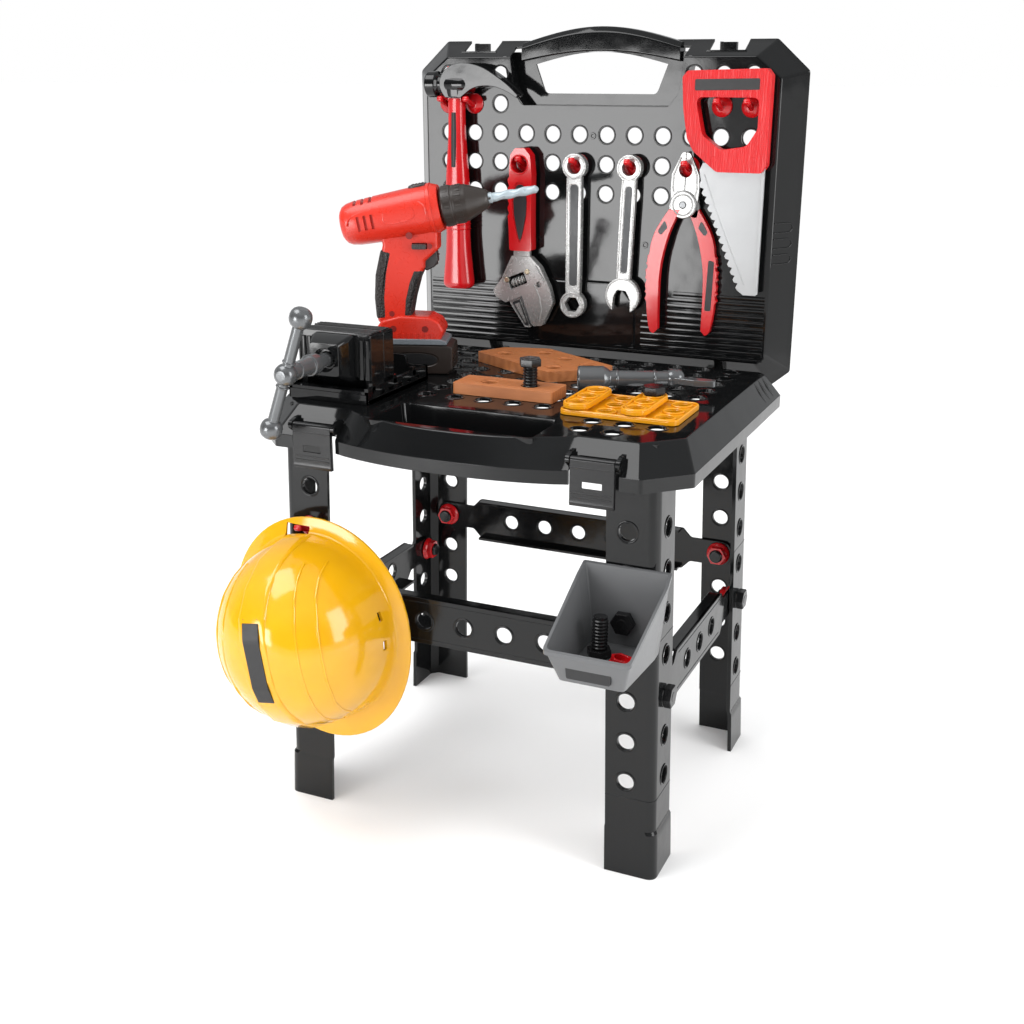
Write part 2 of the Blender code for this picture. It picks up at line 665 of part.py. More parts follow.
def helmet_body(bm):
    ring = helmet_ring
    rings = [ring(120, 104, 96, 0.0), ring(120.5, 104.5, 96.5, 2.6), ring(94, 90, 84, 7.0),
             ring(91, 88, 82, 30.0), ring(82, 81, 75, 60.0), ring(64, 64, 59, 86.0), ring(40, 41, 38, 103.0),
             ring(16, 17, 15, 111.0)]
    loft(bm, rings)


def helmet_hollow(bm):
    ring = helmet_ring
    loft(bm, [ring(91.5, 87.5, 81.5, -2.0), ring(90.5, 86.5, 80.5, 6.0), ring(88, 85, 79, 30.0), ring(79, 78, 72, 58.0),
              ring(61, 61, 56, 83.0), ring(38, 39, 36, 99.5), ring(15, 16, 14, 107.5)])


def helmet_underside(bm):
    ring = helmet_ring
    loft(bm, [ring(117.5, 101.5, 93.5, -2.0), ring(117.5, 101.5, 93.5, 0.4), ring(92.2, 88.2, 82.2, 4.2)])


SLOT_W, SLOT_H = 13.0, 6.0


def helmet_slot(bm):
    lo = (HH_X - SLOT_W, HELMET_C[1] - 20, HH_Z - 6.5)
    hi = (HH_X + SLOT_W, HELMET_C[1] + 6, HH_Z + 8.0)
    box(bm, lo, hi)


node("helmet", [helmet_body], "yellow_helmet", pivot=(HH_X, hy1, HH_Z),
     cuts=[[helmet_hollow], [helmet_underside], [helmet_slot]])


# ---- hammer ----------------------------------------------------------------------------
HAMMER_Y, HAMMER_Z = -14.6, 690.0
HAMMER_X = -149.0


def hammer_head_bar(bm):
    turned(bm, (-182, HAMMER_Y, HAMMER_Z), (1, 0, 0),
           [(0, 12.0), (2, 13.3), (12, 13.3), (14, 9.5), (20, 9.0), (24, 11.0), (44, 11.5), (50, 9.0)], 12)


def hammer_claw(bm):
    top = [(-136, 703.5), (-118, 704), (-100, 699), (-84, 690), (-74, 680.5)]
    low = [(-75.5, 676.5), (-88, 684), (-102, 689.5), (-118, 689), (-136, 682)]
    prism(bm, top + low, "y", HAMMER_Y - 10, HAMMER_Y + 10)


def claw_notch(bm):
    loft(bm, [[(-102, HAMMER_Y - .7, z), (-66, HAMMER_Y - 3.4, z), (-66, HAMMER_Y + 3.4, z), (-102, HAMMER_Y + .7, z)] for z in (670, 710)])


def hammer_eye(bm):
    box(bm, (HAMMER_X - 11, HAMMER_Y - 10.5, 680.5), (HAMMER_X + 11, HAMMER_Y + 10.5, 712))


node("hammer_head", [hammer_head_bar, hammer_claw, hammer_eye], "black_gloss", pivot=(HAMMER_X, HAMMER_Y, HAMMER_Z),
     cuts=[[claw_notch], [lambda bm: box(bm, (HAMMER_X - 8.2, HAMMER_Y - 6.2, 670), (HAMMER_X + 8.2, HAMMER_Y + 6.2, 709))]])


def hammer_handle(bm):
    def oval(z, a, b):
        return [(HAMMER_X + a * math.cos(2 * math.pi * i / 12), HAMMER_Y + b * math.sin(2 * math.pi * i / 12), z) for i in range(12)]
    loft(bm, [oval(477, 15, 11), oval(481, 17, 12.6), oval(500, 15.5, 12), oval(535, 13, 11), oval(565, 13.5, 11.5),
              oval(600, 12, 10.5), oval(640, 9, 8.5), oval(676.2, 9.0, 8.0)])


node("hammer_handle", [hammer_handle, lambda bm: box(bm, (HAMMER_X - 7.8, HAMMER_Y - 5.8, 673), (HAMMER_X + 7.8, HAMMER_Y + 5.8, 708))],
     "red_gloss", pivot=(HAMMER_X, HAMMER_Y, HAMMER_Z))

# ---- flat tools ------------------------------------------------------------------------
FLAT0, FLAT1 = -14.6, -5.6   # the layer that a flat tool on one hook hangs in
EYE_Z = ROW_D - 1.7          # centre of the eye that hangs on a hook
EYE_R = 7.6


def ring_cut(x, z, r, sides=12):
    return hole(x, (FLAT0 + FLAT1) / 2, z, "y", 30, r, sides, 0.0)


# adjustable spanner: handle cover, head, sliding jaw and worm
SX = -75.0
node("spanner_handle", [lambda bm: prism(bm, [(SX - 11.5, 521), (SX + 14, 521), (SX + 13.5, 560), (SX + 14, 600),
                                              (SX + 12, 620), (SX + 6, 627), (SX - 5, 627), (SX - 10.5, 620),
                                              (SX - 12, 600), (SX - 13, 560)], "y", -18.4, -5.2)],
     "red_gloss", pivot=(SX, -12, EYE_Z),
     cuts=[[ring_cut(SX, EYE_Z + 0.6, EYE_R + 1.2)],
           [lambda bm: box(bm, (SX - 9, -14.6, 515), (SX + 11, -8.6, 556))]])

JAW_DIR = Vector((-0.93, 0, -0.3675))     # the way the jaw slides as the spanner opens
JAW_UP = Vector((-0.3675, 0, 0.93))
JAW_O = Vector((-74.0, 0, 478.0))         # a point on the jaw's sliding track


def jaw_frame(pts):
    return [((JAW_O + JAW_DIR * a + JAW_UP * b).x, (JAW_O + JAW_DIR * a + JAW_UP * b).z) for a, b in pts]


def spanner_head(bm):
    prism(bm, [(SX - 10, 515), (SX - 22, 490), (-107, 477), (-103.5, 470.0)] + jaw_frame([(22.0, -6.0), (2.6, -6.0), (2.6, -34), (0, -40), (-10, -43), (-20, -34)])
          + [(-36.5, 467), (-41, 484), (-52, 505), (SX + 12, 515)],
          "y", -16.2, -7.0)


node("spanner_head", [spanner_head, lambda bm: box(bm, (SX - 8.4, -14.3, 510), (SX + 10.4, -8.9, 555))], "silver", pivot=(-74, -11.6, 478),
     cuts=[[lambda bm: prism(bm, jaw_frame([(-13.0, 6.0), (30, 6.0), (30, -8), (-13.0, -8)]), "y", -14.6, -8.6)],
           [lambda bm: prism(bm, jaw_frame([(-9.0, 17.0), (9.0, 17.0), (9.0, 5.0), (-9.0, 5.0)]), "y", -20, -3)]])

node("spanner_jaw", [lambda bm: prism(bm, jaw_frame([(-10.0, 5.6), (14, 5.6), (18.0, -6.4), (10.0, -38.0), (4.0, -41.0), (4.0, -6.4), (-10.0, -6.4)]),
                                      "y", -14.2, -9.0)],
     "silver", pivot=tuple(JAW_O - Vector((0, 11.6, 0))))
WORM_O = JAW_O + JAW_UP * 11.0 + Vector((0, -11.6, 0))
node("spanner_worm", [lambda bm: turned(bm, tuple(WORM_O - JAW_DIR * 8.4), tuple(JAW_DIR),
                                        [(0, 3.4), (1, 5.0), (3, 5.0), (3.8, 4.0), (4.6, 5.0), (7.4, 5.0), (8.2, 4.0), (9, 5.0),
                                         (11.4, 5.0), (12.2, 4.0), (13, 5.0), (15.8, 5.0), (16.8, 3.4)], 8)],
     "silver", pivot=tuple(WORM_O))

# ring spanner
node("ring_spanner", [lambda bm: prism(bm, arc(-15, EYE_Z, 13, 0, 360, 20)[:-1], "y", FLAT0, FLAT1),
                      lambda bm: prism(bm, arc(-15, 467, 14, 0, 360, 20)[:-1], "y", FLAT0, FLAT1),
                      lambda bm: prism(bm, [(-23, 475), (-7, 475), (-6.5, 500), (-6.5, 575), (-7, 602), (-23, 602), (-23.5, 575), (-23.5, 500)],
                                       "y", FLAT0 + 1.5, FLAT1 - 1)],
     "silver", pivot=(-15, -10, EYE_Z), cuts=[[ring_cut(-15, EYE_Z, EYE_R), hole(-15, -10, 467, "y", 30, 8.6, 6, 0.0)]])

# combination spanner
node("combination_spanner", [lambda bm: prism(bm, arc(45, EYE_Z, 13, 0, 360, 20)[:-1], "y", FLAT0, FLAT1),
                             lambda bm: prism(bm, arc(41, 480, 19, 0, 360, 20)[:-1], "y", FLAT0 + 1, FLAT1 - 1),
                             lambda bm: prism(bm, [(33.5, 490), (49, 490), (52, 575), (52.5, 602), (37.5, 602), (36, 575)],
                                              "y", FLAT0 + 1.5, FLAT1 - 1.5)],
     "silver", pivot=(45, -10, EYE_Z),
     cuts=[[ring_cut(45, EYE_Z, EYE_R),
            lambda bm: prism(bm, [(29, 455), (50, 455), (49.5, 476), (45, 485), (35, 486), (31, 478)], "y", -30, 10)]])

# pliers: two crossed halves on one rivet, each jaw hollowed for the hook
PX, PZ = 104.0, 576.0


def plier_half(side, y0, y1, name, rivet):
    s = side

    def jaw(bm):
        prism(bm, [(PX + s * 1.0, 627), (PX + s * 5.0, 626), (PX + s * 15, 605), (PX + s * 15.5, 590), (PX + s * 13, 570),
                   (PX - s * 13, 562), (PX - s * 15, 574), (PX - s * 12.0, 588), (PX + s * 1.0, 589)], "y", y0, y1)

    def handle(bm):
        prism(bm, [(PX - s * 3, 571), (PX - s * 15, 571), (PX - s * 30, 545), (PX - s * 36, 512), (PX - s * 36, 480), (PX - s * 32, 450),
                   (PX - s * 27, 444), (PX - s * 22, 449), (PX - s * 22.5, 485), (PX - s * 21, 515), (PX - s * 14, 545)],
              "y", y0 - (3.2 if rivet else 0), y1 + (0 if rivet else 3.2))

    shapes = [jaw, handle]
    cuts = [[hole(PX, -10, EYE_Z, "y", 30, EYE_R, 12, 0.0)]]
    if rivet:
        shapes.append(lambda bm: rod(bm, (PX, y0 - 1.2, PZ), (PX, y1 + 4.8, PZ), 5.2, 12))
    else:
        cuts.append([hole(PX, -10, PZ, "y", 40, 5.7, 12, 0.0)])
    node(name, shapes, "red_gloss", pivot=(PX, -10, PZ), cuts=cuts)


plier_half(1, -14.4, -10.2, "pliers_front_half", True)
plier_half(-1, -9.8, -5.6, "pliers_back_half", False)

# saw
SAW0, SAW1 = -19.0, -5.6
SAW_EYE_TOP = ROW_B + 8.6


def saw_handle(bm):
    prism(bm, [(99, 698), (104, 704), (182, 706), (187, 700), (186.5, 616), (182, 609), (137, 609), (113, 628), (106, 640), (101, 668)], "y", SAW0, SAW1)


def saw_opening(bm):
    prism(bm, [(113, SAW_EYE_TOP), (176, SAW_EYE_TOP), (176, 650), (166, 634), (140, 630), (121, 644)], "y", SAW0 - 5, SAW1 + 5)


def saw_slit(bm):
    prism(bm, [(90, 640.5), (130, 605), (200, 605), (200, 580), (90, 580)], "y", -14.0, -10.8)


node("saw_handle", [saw_handle], "red_gloss", pivot=(145, -12, 660),
     cuts=[[saw_opening], [lambda bm: prism(bm, [(100, 600), (100, 628), (126, 618.5), (190, 618.5), (190, 600)], "y", -14.2, -10.6)]])


def saw_blade(bm):
    left = [(120.5, 617.5), (117.5, 612), (120, 600)]
    n = 9
    teeth = []
    for i in range(n):
        f0, f1 = i / n, (i + 0.72) / n
        teeth.append((121 + 44 * f0, 598 - 104 * f0))
        teeth.append((122.5 + 44 * f1 - 5.2, 598 - 104 * f1))
    prism(bm, [(184.5, 617.5), (184, 492.5), (181, 490), (168, 489)] + list(reversed(teeth)) + [(118.5, 610), (122, 617.5)], "y", -13.6, -11.2)


node("saw_blade", [saw_blade], "silver", pivot=(145, -12, 600))


# ---- vice ------------------------------------------------------------------------------
VX, VZ = -144.0, 452.0
V0 = TOP_Z + GAP


def vice_frame_bar(x0, x1, y0, y1, z1):
    return lambda bm: box(bm, (x0, y0, V0), (x1, y1, z1))


def vice_front_jaw(bm):
    box(bm, (VX - 39, -284, V0 + 2), (VX + 39, -262.3, 475))


def vice_boss(bm):
    def r(h, z0, z1, y):
        return [(VX - h, y, z0), (VX + h, y, z0), (VX + h, y, z1), (VX - h, y, z1)]
    loft(bm, [r(15.5, 437, 468, -304), r(22, 428, 474, -283)])


node("vice_base", [lambda bm: box(bm, (VX - 44, -298, V0), (VX + 42, -181, V0 + 4)),
                   vice_frame_bar(VX - 44, VX + 42, -298, -287, V0 + 12),
                   vice_frame_bar(VX - 44, VX - 40, -298, -181, V0 + 15), vice_frame_bar(VX + 38, VX + 42, -298, -181, V0 + 15),
                   vice_frame_bar(VX - 44, VX + 42, -185, -181, V0 + 15), vice_front_jaw, vice_boss],
     "black_gloss", pivot=(VX, -262, TOP_Z),
     cuts=[[hole(VX, -283, VZ, "y", 60, 7.4, 12, 0.0)],
           [lambda bm: box(bm, (VX - 32, -290, V0 + 5), (VX + 32, -266, VZ - 18))]])

node("vice_jaw", [lambda bm: box(bm, (VX - 39, -261.7, V0 + 17), (VX + 39, -243, 475)),
                  lambda bm: box(bm, (VX - 36, -261.7, V0 + 4.5), (VX + 36, -238, V0 + 18))],
     "black_gloss", pivot=(VX, -262, VZ),
     cuts=[[hole(VX, -250, VZ, "y", 60, 7.4, 12, 0.0)]])

T_A = math.radians(20)


def handle_end(s, length):
    return Vector((VX + s * length * math.sin(T_A), -367, VZ - 0.5 + s * length * math.cos(T_A)))


node("vice_screw", [lambda bm: turned(bm, (VX, -246, VZ), (0, -1, 0), [(0, 6.6), (72, 6.6), (73, 9.6), (84, 10.0), (85, 8.6), (121, 7.0)], 10),
                    lambda bm: turned(bm, (VX, -376, VZ - .5), (0, 1, 0), [(0, 4), (2.5, 8.2), (9, 10.2), (15.5, 8.2), (18, 4)], 10),
                    lambda bm: rod(bm, handle_end(-1, 54), handle_end(1, 54), 5.4, 10),
                    lambda bm: turned(bm, handle_end(1, 47), handle_end(1, 2) - handle_end(1, 1), [(0, 5), (2.5, 8.2), (9, 10.2), (15.5, 8.2), (18, 4)], 12),
                    lambda bm: turned(bm, handle_end(-1, 47), handle_end(-1, 2) - handle_end(-1, 1), [(0, 5), (2.5, 8.2), (9, 10.2), (15.5, 8.2), (18, 4)], 12)],
     "grey_plastic", pivot=(VX, -262, VZ))


# ---- drill -----------------------------------------------------------------------------
DRILL_O = (-129.0, -145.0)
DRILL_TURN = math.radians(20)
DRILL = Matrix.Translation(v(DRILL_O[0], DRILL_O[1], TOP_Z + GAP)) @ Matrix.Rotation(DRILL_TURN, 4, "Z")
AX_T = math.radians(10.8)
AX_D = (math.cos(AX_T), 0, math.sin(AX_T))
AX_P = Vector((27.0, 0, 164.5))


def dp(x, y, z):
    """Drill frame (forward, left, up) to bench millimetres."""
    c, s = math.cos(DRILL_TURN), math.sin(DRILL_TURN)
    return (DRILL_O[0] + x * c - y * s, DRILL_O[1] + x * s + y * c, TOP_Z + GAP + z)


def slab(points, half):
    return lambda bm: prism(bm, points, "y", -half, half)


node("drill_body", [
    lambda bm: turned(bm, tuple(AX_P - Vector(AX_D) * 104), AX_D,
                      [(0, 13), (4, 19), (14, 21.5), (42, 23), (80, 24.5), (92, 24.5), (98, 23), (101, 22)], 16),
    slab([(-34, 128), (-41, 98), (-42.5, 75), (-41, 50), (-8, 50), (-4, 75), (2, 96), (8, 106), (8, 112), (22, 124), (22, 150), (-40, 150)], 14.5),
    slab([(-43, 31), (-42, 46), (-36, 54), (-18, 59), (12, 58), (22, 53), (27, 44), (22, 31)], 20.5),
    slab([(-30, 150), (-20, 120), (18, 122), (24, 140), (24, 150)], 19)],
     "drill_red", turn=DRILL,
     pivot=dp(0, 0, 0),
     cuts=[[lambda bm: box(bm, (-1, -7.5, 101), (30, 7.5, 123.5))],
           [lambda bm: box(bm, (-4, -30, 124.5), (11, 30, 130.5))]])
node("drill_battery", [slab([(-36, 0), (30, 0), (35, 5), (36, 30), (28, 30.4 - GAP), (-40, 30.4 - GAP), (-41, 5)], 22)],
     "grip_black", turn=DRILL, pivot=dp(0, 0, 0))
node("drill_trigger", [slab([(5.5, 104), (9, 102), (17, 106), (20.5, 112), (19.5, 122.5), (5.5, 122.5)], 6.8)], "grip_black", turn=DRILL, pivot=dp(5.5, 0, 112))
node("drill_direction_switch", [lambda bm: box(bm, (-3.5, -21.4, 125.0), (10.5, 21.4, 130.0))], "grip_black", turn=DRILL,
     pivot=dp(3.5, 0, 127.5))
CH0 = AX_P + Vector(AX_D) * -2.4
node("drill_chuck_and_bit", [lambda bm: turned(bm, tuple(CH0), AX_D, [(0, 20.0), (3, 21.0), (28, 20.0), (45, 9.0), (47, 8.0)], 16),
                             lambda bm: turned(bm, tuple(CH0), AX_D, [(40, 4.5), (94, 4.5), (97, 2.0)], 10)],
     "grip_black", turn=DRILL, pivot=dp(27, 0, 164.5))


# ---- loose pieces on the worktop -------------------------------------------------------
node("plank_front", [lambda bm: box(bm, (-53, -224, TOP_Z + GAP), (50, -188, TOP_Z + 11))], "wood_brown", pivot=(-1, -206, TOP_Z),
     cuts=[[hole(-22, -206, TOP_Z + 5, "z", 30), hole(20, -206, TOP_Z + 5, "z", 30)]])
bolt("bolt_plank", (20, -206, TOP_Z + 30), (0, 0, -1), 0.0, 24.6, nut=False)
PR_A = math.radians(-30)


def pr(a, b):
    """Rear plank frame (along, across) to the bench."""
    c, s = math.cos(PR_A), math.sin(PR_A)
    return (-16 + a * c - b * s, -88 + a * s + b * c)


plank_shape = [pr(*p) for p in ((-70, -35), (53, -35), (66, -2), (70, 35), (-36, 35), (-54, 18), (-70, 1))]
node("plank_rear", [lambda bm: prism(bm, plank_shape, "z", TOP_Z + GAP, TOP_Z + 11)], "wood_brown", pivot=(-16, -88, TOP_Z),
     cuts=[[hole(*pr(a, b), TOP_Z + 5, "z", 30) for a, b in ((-45, -17), (0, -17), (38, -17), (-22, 18), (14, 18), (50, 18))]])


def rounded(cx, cy, hx, hy, r, n=3):
    pts = []
    for qx, qy, a in ((1, -1, -90), (1, 1, 0), (-1, 1, 90), (-1, -1, 180)):
        pts += arc(cx + qx * (hx - r), cy + qy * (hy - r), r, a, a + 90, n)
    return pts


PL_X, PL_Y = 124.0, -219.0
node("plate_large", [lambda bm: prism(bm, rounded(PL_X, PL_Y, 55.5, 37, 8), "z", TOP_Z + GAP, TOP_Z + 6)], "yellow_plate",
     pivot=(PL_X, PL_Y, TOP_Z), cuts=[[hole(PL_X - 41 + 27.3 * i, PL_Y + 25 * j, TOP_Z, "z", 30, 7.6) for i in range(4) for j in (-1, 0, 1)]])
for name, sx in (("strip_left", PL_X - 41), ("strip_right", PL_X + 13.6)):
    node(name, [lambda bm, sx=sx: prism(bm, rounded(sx, PL_Y, 13, 38, 12), "z", TOP_Z + 6 + GAP, TOP_Z + 12)], "yellow_plate",
         pivot=(sx, PL_Y, TOP_Z + 6), cuts=[[hole(sx, PL_Y + 25 * j, TOP_Z + 8, "z", 20, 7.6) for j in (-1, 0, 1)]])
bolt("bolt_strip", (PL_X + 13.6, PL_Y + 25, TOP_Z + 12.2), (0, 0, -1), 0.0, 7.0, nut=False)

# box spanner with a blade and a claw on its end ball
BS_A = math.radians(24.5)
BS_D = (math.cos(BS_A), math.sin(BS_A), 0)
BS_O = Vector((52, -166, TOP_Z + 12.6))


def bs(t, s, h=0.0):
    return (BS_O.x + t * BS_D[0] - s * BS_D[1], BS_O.y + t * BS_D[1] + s * BS_D[0], BS_O.z + h)


node("box_spanner", [lambda bm: turned(bm, tuple(BS_O), BS_D, [(0, 12.0), (25, 12.0), (29, 9.5), (31, 7.6), (88, 7.0), (92, 6.0)], 12),
                     lambda bm: turned(bm, bs(84, 0), BS_D, [(0, 5), (3, 8), (9, 9.2), (15, 8), (18, 5)], 12),
                     lambda bm: prism(bm, [bs(94, -4)[:2], bs(112, -9)[:2], bs(130, -16)[:2], bs(128, -25)[:2], bs(108, -20)[:2], bs(90, -8)[:2]],
                                      "z", BS_O.z - 3.5, BS_O.z + 2.5),
                     lambda bm: prism(bm, [bs(88, 5)[:2], bs(96, 8)[:2], bs(94, 22)[:2], bs(84, 26)[:2], bs(86, 16)[:2]], "z", BS_O.z - 3.5, BS_O.z + 2.5)],
     "grey_plastic", pivot=tuple(BS_O),
     cuts=[[lambda bm: turned(bm, bs(-2, 0), BS_D, [(0, 9.2), (20, 9.2)], 6)]])
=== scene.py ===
"""The looks of the toy tool bench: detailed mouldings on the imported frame, their finishes,
a pale floor, soft studio light and the camera."""
import math

import bmesh
import bpy
from mathutils import Matrix, Vector


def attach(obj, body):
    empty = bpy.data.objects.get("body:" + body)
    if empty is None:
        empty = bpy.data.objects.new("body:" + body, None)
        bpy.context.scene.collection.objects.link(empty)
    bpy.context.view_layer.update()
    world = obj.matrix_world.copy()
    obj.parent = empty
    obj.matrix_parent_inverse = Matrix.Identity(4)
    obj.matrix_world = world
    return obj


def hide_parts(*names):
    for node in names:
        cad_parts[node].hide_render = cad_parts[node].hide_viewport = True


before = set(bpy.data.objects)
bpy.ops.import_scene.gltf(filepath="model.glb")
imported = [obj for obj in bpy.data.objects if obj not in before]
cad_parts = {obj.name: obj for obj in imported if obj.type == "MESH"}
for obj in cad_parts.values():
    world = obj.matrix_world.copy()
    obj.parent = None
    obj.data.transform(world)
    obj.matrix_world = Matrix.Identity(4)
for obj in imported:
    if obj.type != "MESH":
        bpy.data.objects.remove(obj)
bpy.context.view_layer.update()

MM = 0.001
SHIFT = (12.3, 206.4)
WORLD = Matrix.Translation((SHIFT[0] * MM, SHIFT[1] * MM, 0)) @ Matrix.Scale(MM, 4)

# dimensions shared with the frame, in millimetres in the bench's own axes
PITCH, ROW_STEP, BOARD_Z0, LEG_PITCH = 30.0, 29.55, 582.0, 39.7
RIM_Z, TOP_Z = 376.0, 412.0
HINGE_Y, HINGE_Z, LID_DEPTH = 26.0, 368.0, 30.0
HOLE0_Z, LEG_TOP = 332.6, 391.0
GAP = 0.3
ROW_B, ROW_D = BOARD_Z0 + 3 * ROW_STEP, BOARD_Z0 + ROW_STEP
EYE_Z, EYE_R = ROW_D - 1.7, 7.6


# ---- finishes --------------------------------------------------------------------------
def plastic(name, rgb, rough, *, dark=None, grain=0.12, grain_scale=900.0, bump=0.02, metallic=0.0, coat=0.0,
            blotch=35.0, spec=0.5, sheen=0.0, sub=0.0):
    """Moulded plastic: slow colour drift, fine surface grain in roughness and bump, faint scuffs."""
    m = bpy.data.materials.new(name)
    m.use_nodes = True
    nt = m.node_tree
    n, l = nt.nodes, nt.links
    b = n["Principled BSDF"]
    co = n.new("ShaderNodeTexCoord")
    slow = n.new("ShaderNodeTexNoise")
    slow.inputs["Scale"].default_value = blotch
    slow.inputs["Detail"].default_value = 3
    fine = n.new("ShaderNodeTexNoise")
    fine.inputs["Scale"].default_value = grain_scale
    fine.inputs["Detail"].default_value = 4
    scuff = n.new("ShaderNodeTexNoise")
    scuff.inputs["Scale"].default_value = 140
    scuff.inputs["Detail"].default_value = 8
    scuff.inputs["Distortion"].default_value = 1.6
    for t in (slow, fine, scuff):
        l.new(co.outputs["Object"], t.inputs["Vector"])
    mix = n.new("ShaderNodeMix")
    mix.data_type = "RGBA"
    mix.inputs["A"].default_value = (*(dark or [c * 0.86 for c in rgb]), 1)
    mix.inputs["B"].default_value = (*[min(1, c * 1.05) for c in rgb], 1)
    l.new(slow.outputs["Fac"], mix.inputs["Factor"])
    l.new(mix.outputs["Result"], b.inputs["Base Color"])
    r1 = n.new("ShaderNodeMapRange")
    r1.inputs["From Min"].default_value, r1.inputs["From Max"].default_value = 0.35, 0.75
    r1.inputs["To Min"].default_value, r1.inputs["To Max"].default_value = rough * (1 - grain), rough * (1 + grain)
    l.new(scuff.outputs["Fac"], r1.inputs["Value"])
    l.new(r1.outputs["Result"], b.inputs["Roughness"])
    bp = n.new("ShaderNodeBump")
    bp.inputs["Strength"].default_value = bump
    bp.inputs["Distance"].default_value = 0.0006
    l.new(fine.outputs["Fac"], bp.inputs["Height"])
    l.new(bp.outputs["Normal"], b.inputs["Normal"])
    b.inputs["Metallic"].default_value = metallic
    b.inputs["Specular IOR Level"].default_value = spec
    b.inputs["Coat Weight"].default_value = coat
    b.inputs["Coat Roughness"].default_value = 0.08
    if sub:
        b.inputs["Subsurface Weight"].default_value = sub
        b.inputs["Subsurface Radius"].default_value = (0.6, 0.3, 0.1)
        b.inputs["Subsurface Scale"].default_value = 0.003
    m.diffuse_color = (*rgb, 1)
    return m


def wavy_plastic(name, rgb, rough, wave, depth, spec=0.5):
    """Glossy moulded plastic whose skin is very slightly uneven, as large thin walls are."""
    m = plastic(name, rgb, rough, grain=0.15, bump=0.01, spec=spec)
    nt = m.node_tree
    n, l = nt.nodes, nt.links
    b = n["Principled BSDF"]
    first = b.inputs["Normal"].links[0].from_node
    co = [x for x in n if x.type == "TEX_COORD"][0]
    big = n.new("ShaderNodeTexNoise")
    big.inputs["Scale"].default_value = wave
    big.inputs["Detail"].default_value = 2
    l.new(co.outputs["Object"], big.inputs["Vector"])
    bp = n.new("ShaderNodeBump")
    bp.inputs["Strength"].default_value = depth
    bp.inputs["Distance"].default_value = 0.004
    l.new(big.outputs["Fac"], bp.inputs["Height"])
    l.new(first.outputs["Normal"], bp.inputs["Normal"])
    l.new(bp.outputs["Normal"], b.inputs["Normal"])
    return m


def wood_plastic(name):
    """Brown plastic with a moulded wood grain."""
    m = bpy.data.materials.new(name)
    m.use_nodes = True
    nt = m.node_tree
    n, l = nt.nodes, nt.links
    b = n["Principled BSDF"]
    co = n.new("ShaderNodeTexCoord")
    mp = n.new("ShaderNodeMapping")
    mp.inputs["Rotation"].default_value = (0, 0, math.radians(22))
    mp.inputs["Scale"].default_value = (0.16, 1, 1)
    l.new(co.outputs["Object"], mp.inputs["Vector"])
    w = n.new("ShaderNodeTexWave")
    w.wave_type = "BANDS"
    w.bands_direction = "Y"
    w.inputs["Scale"].default_value = 62
    w.inputs["Distortion"].default_value = 6
    w.inputs["Detail"].default_value = 4
    w.inputs["Detail Scale"].default_value = 1.2
    l.new(mp.outputs["Vector"], w.inputs["Vector"])
    nz = n.new("ShaderNodeTexNoise")
    nz.inputs["Scale"].default_value = 900
    nz.inputs["Detail"].default_value = 5
    l.new(mp.outputs["Vector"], nz.inputs["Vector"])
    ramp = n.new("ShaderNodeValToRGB")
    ramp.color_ramp.elements[0].color = (0.335, 0.108, 0.032, 1)
    ramp.color_ramp.elements[1].color = (0.50, 0.185, 0.062, 1)
    l.new(w.outputs["Fac"], ramp.inputs["Fac"])
    mix = n.new("ShaderNodeMix")
    mix.data_type = "RGBA"
    mix.inputs["B"].default_value = (0.43, 0.15, 0.048, 1)
    l.new(ramp.outputs["Color"], mix.inputs["A"])
    l.new(nz.outputs["Fac"], mix.inputs["Factor"])
    l.new(mix.outputs["Result"], b.inputs["Base Color"])
    bp = n.new("ShaderNodeBump")
    bp.inputs["Strength"].default_value = 0.12
    bp.inputs["Distance"].default_value = 0.0005
    l.new(w.outputs["Fac"], bp.inputs["Height"])
    l.new(bp.outputs["Normal"], b.inputs["Normal"])
    rr = n.new("ShaderNodeMapRange")
    rr.inputs["To Min"].default_value, rr.inputs["To Max"].default_value = 0.38, 0.55
    l.new(nz.outputs["Fac"], rr.inputs["Value"])
    l.new(rr.outputs["Result"], b.inputs["Roughness"])
    m.diffuse_color = (0.43, 0.15, 0.05, 1)
    return m


def grained_plastic(name, rgb, rough):
    """Coloured plastic with a fine moulded wood grain."""
    m = plastic(name, rgb, rough, dark=[c * 0.82 for c in rgb], bump=0.05)
    nt = m.node_tree
    n, l = nt.nodes, nt.links
    b = n["Principled BSDF"]
    co = [x for x in n if x.type == "TEX_COORD"][0]
    first = b.inputs["Normal"].links[0].from_node
    mp = n.new("ShaderNodeMapping")
    mp.inputs["Rotation"].default_value = (0, math.radians(-14), 0)
    mp.inputs["Scale"].default_value = (1, 1, 0.10)
    l.new(co.outputs["Object"], mp.inputs["Vector"])
    w = n.new("ShaderNodeTexWave")
    w.wave_type = "BANDS"
    w.bands_direction = "X"
    w.inputs["Scale"].default_value = 150
    w.inputs["Distortion"].default_value = 7
    w.inputs["Detail"].default_value = 3
    w.inputs["Detail Scale"].default_value = 1.4
    l.new(mp.outputs["Vector"], w.inputs["Vector"])
    bp = n.new("ShaderNodeBump")
    bp.inputs["Strength"].default_value = 0.55
    bp.inputs["Distance"].default_value = 0.0007
    l.new(w.outputs["Fac"], bp.inputs["Height"])
    l.new(first.outputs["Normal"], bp.inputs["Normal"])
    l.new(bp.outputs["Normal"], b.inputs["Normal"])
    return m


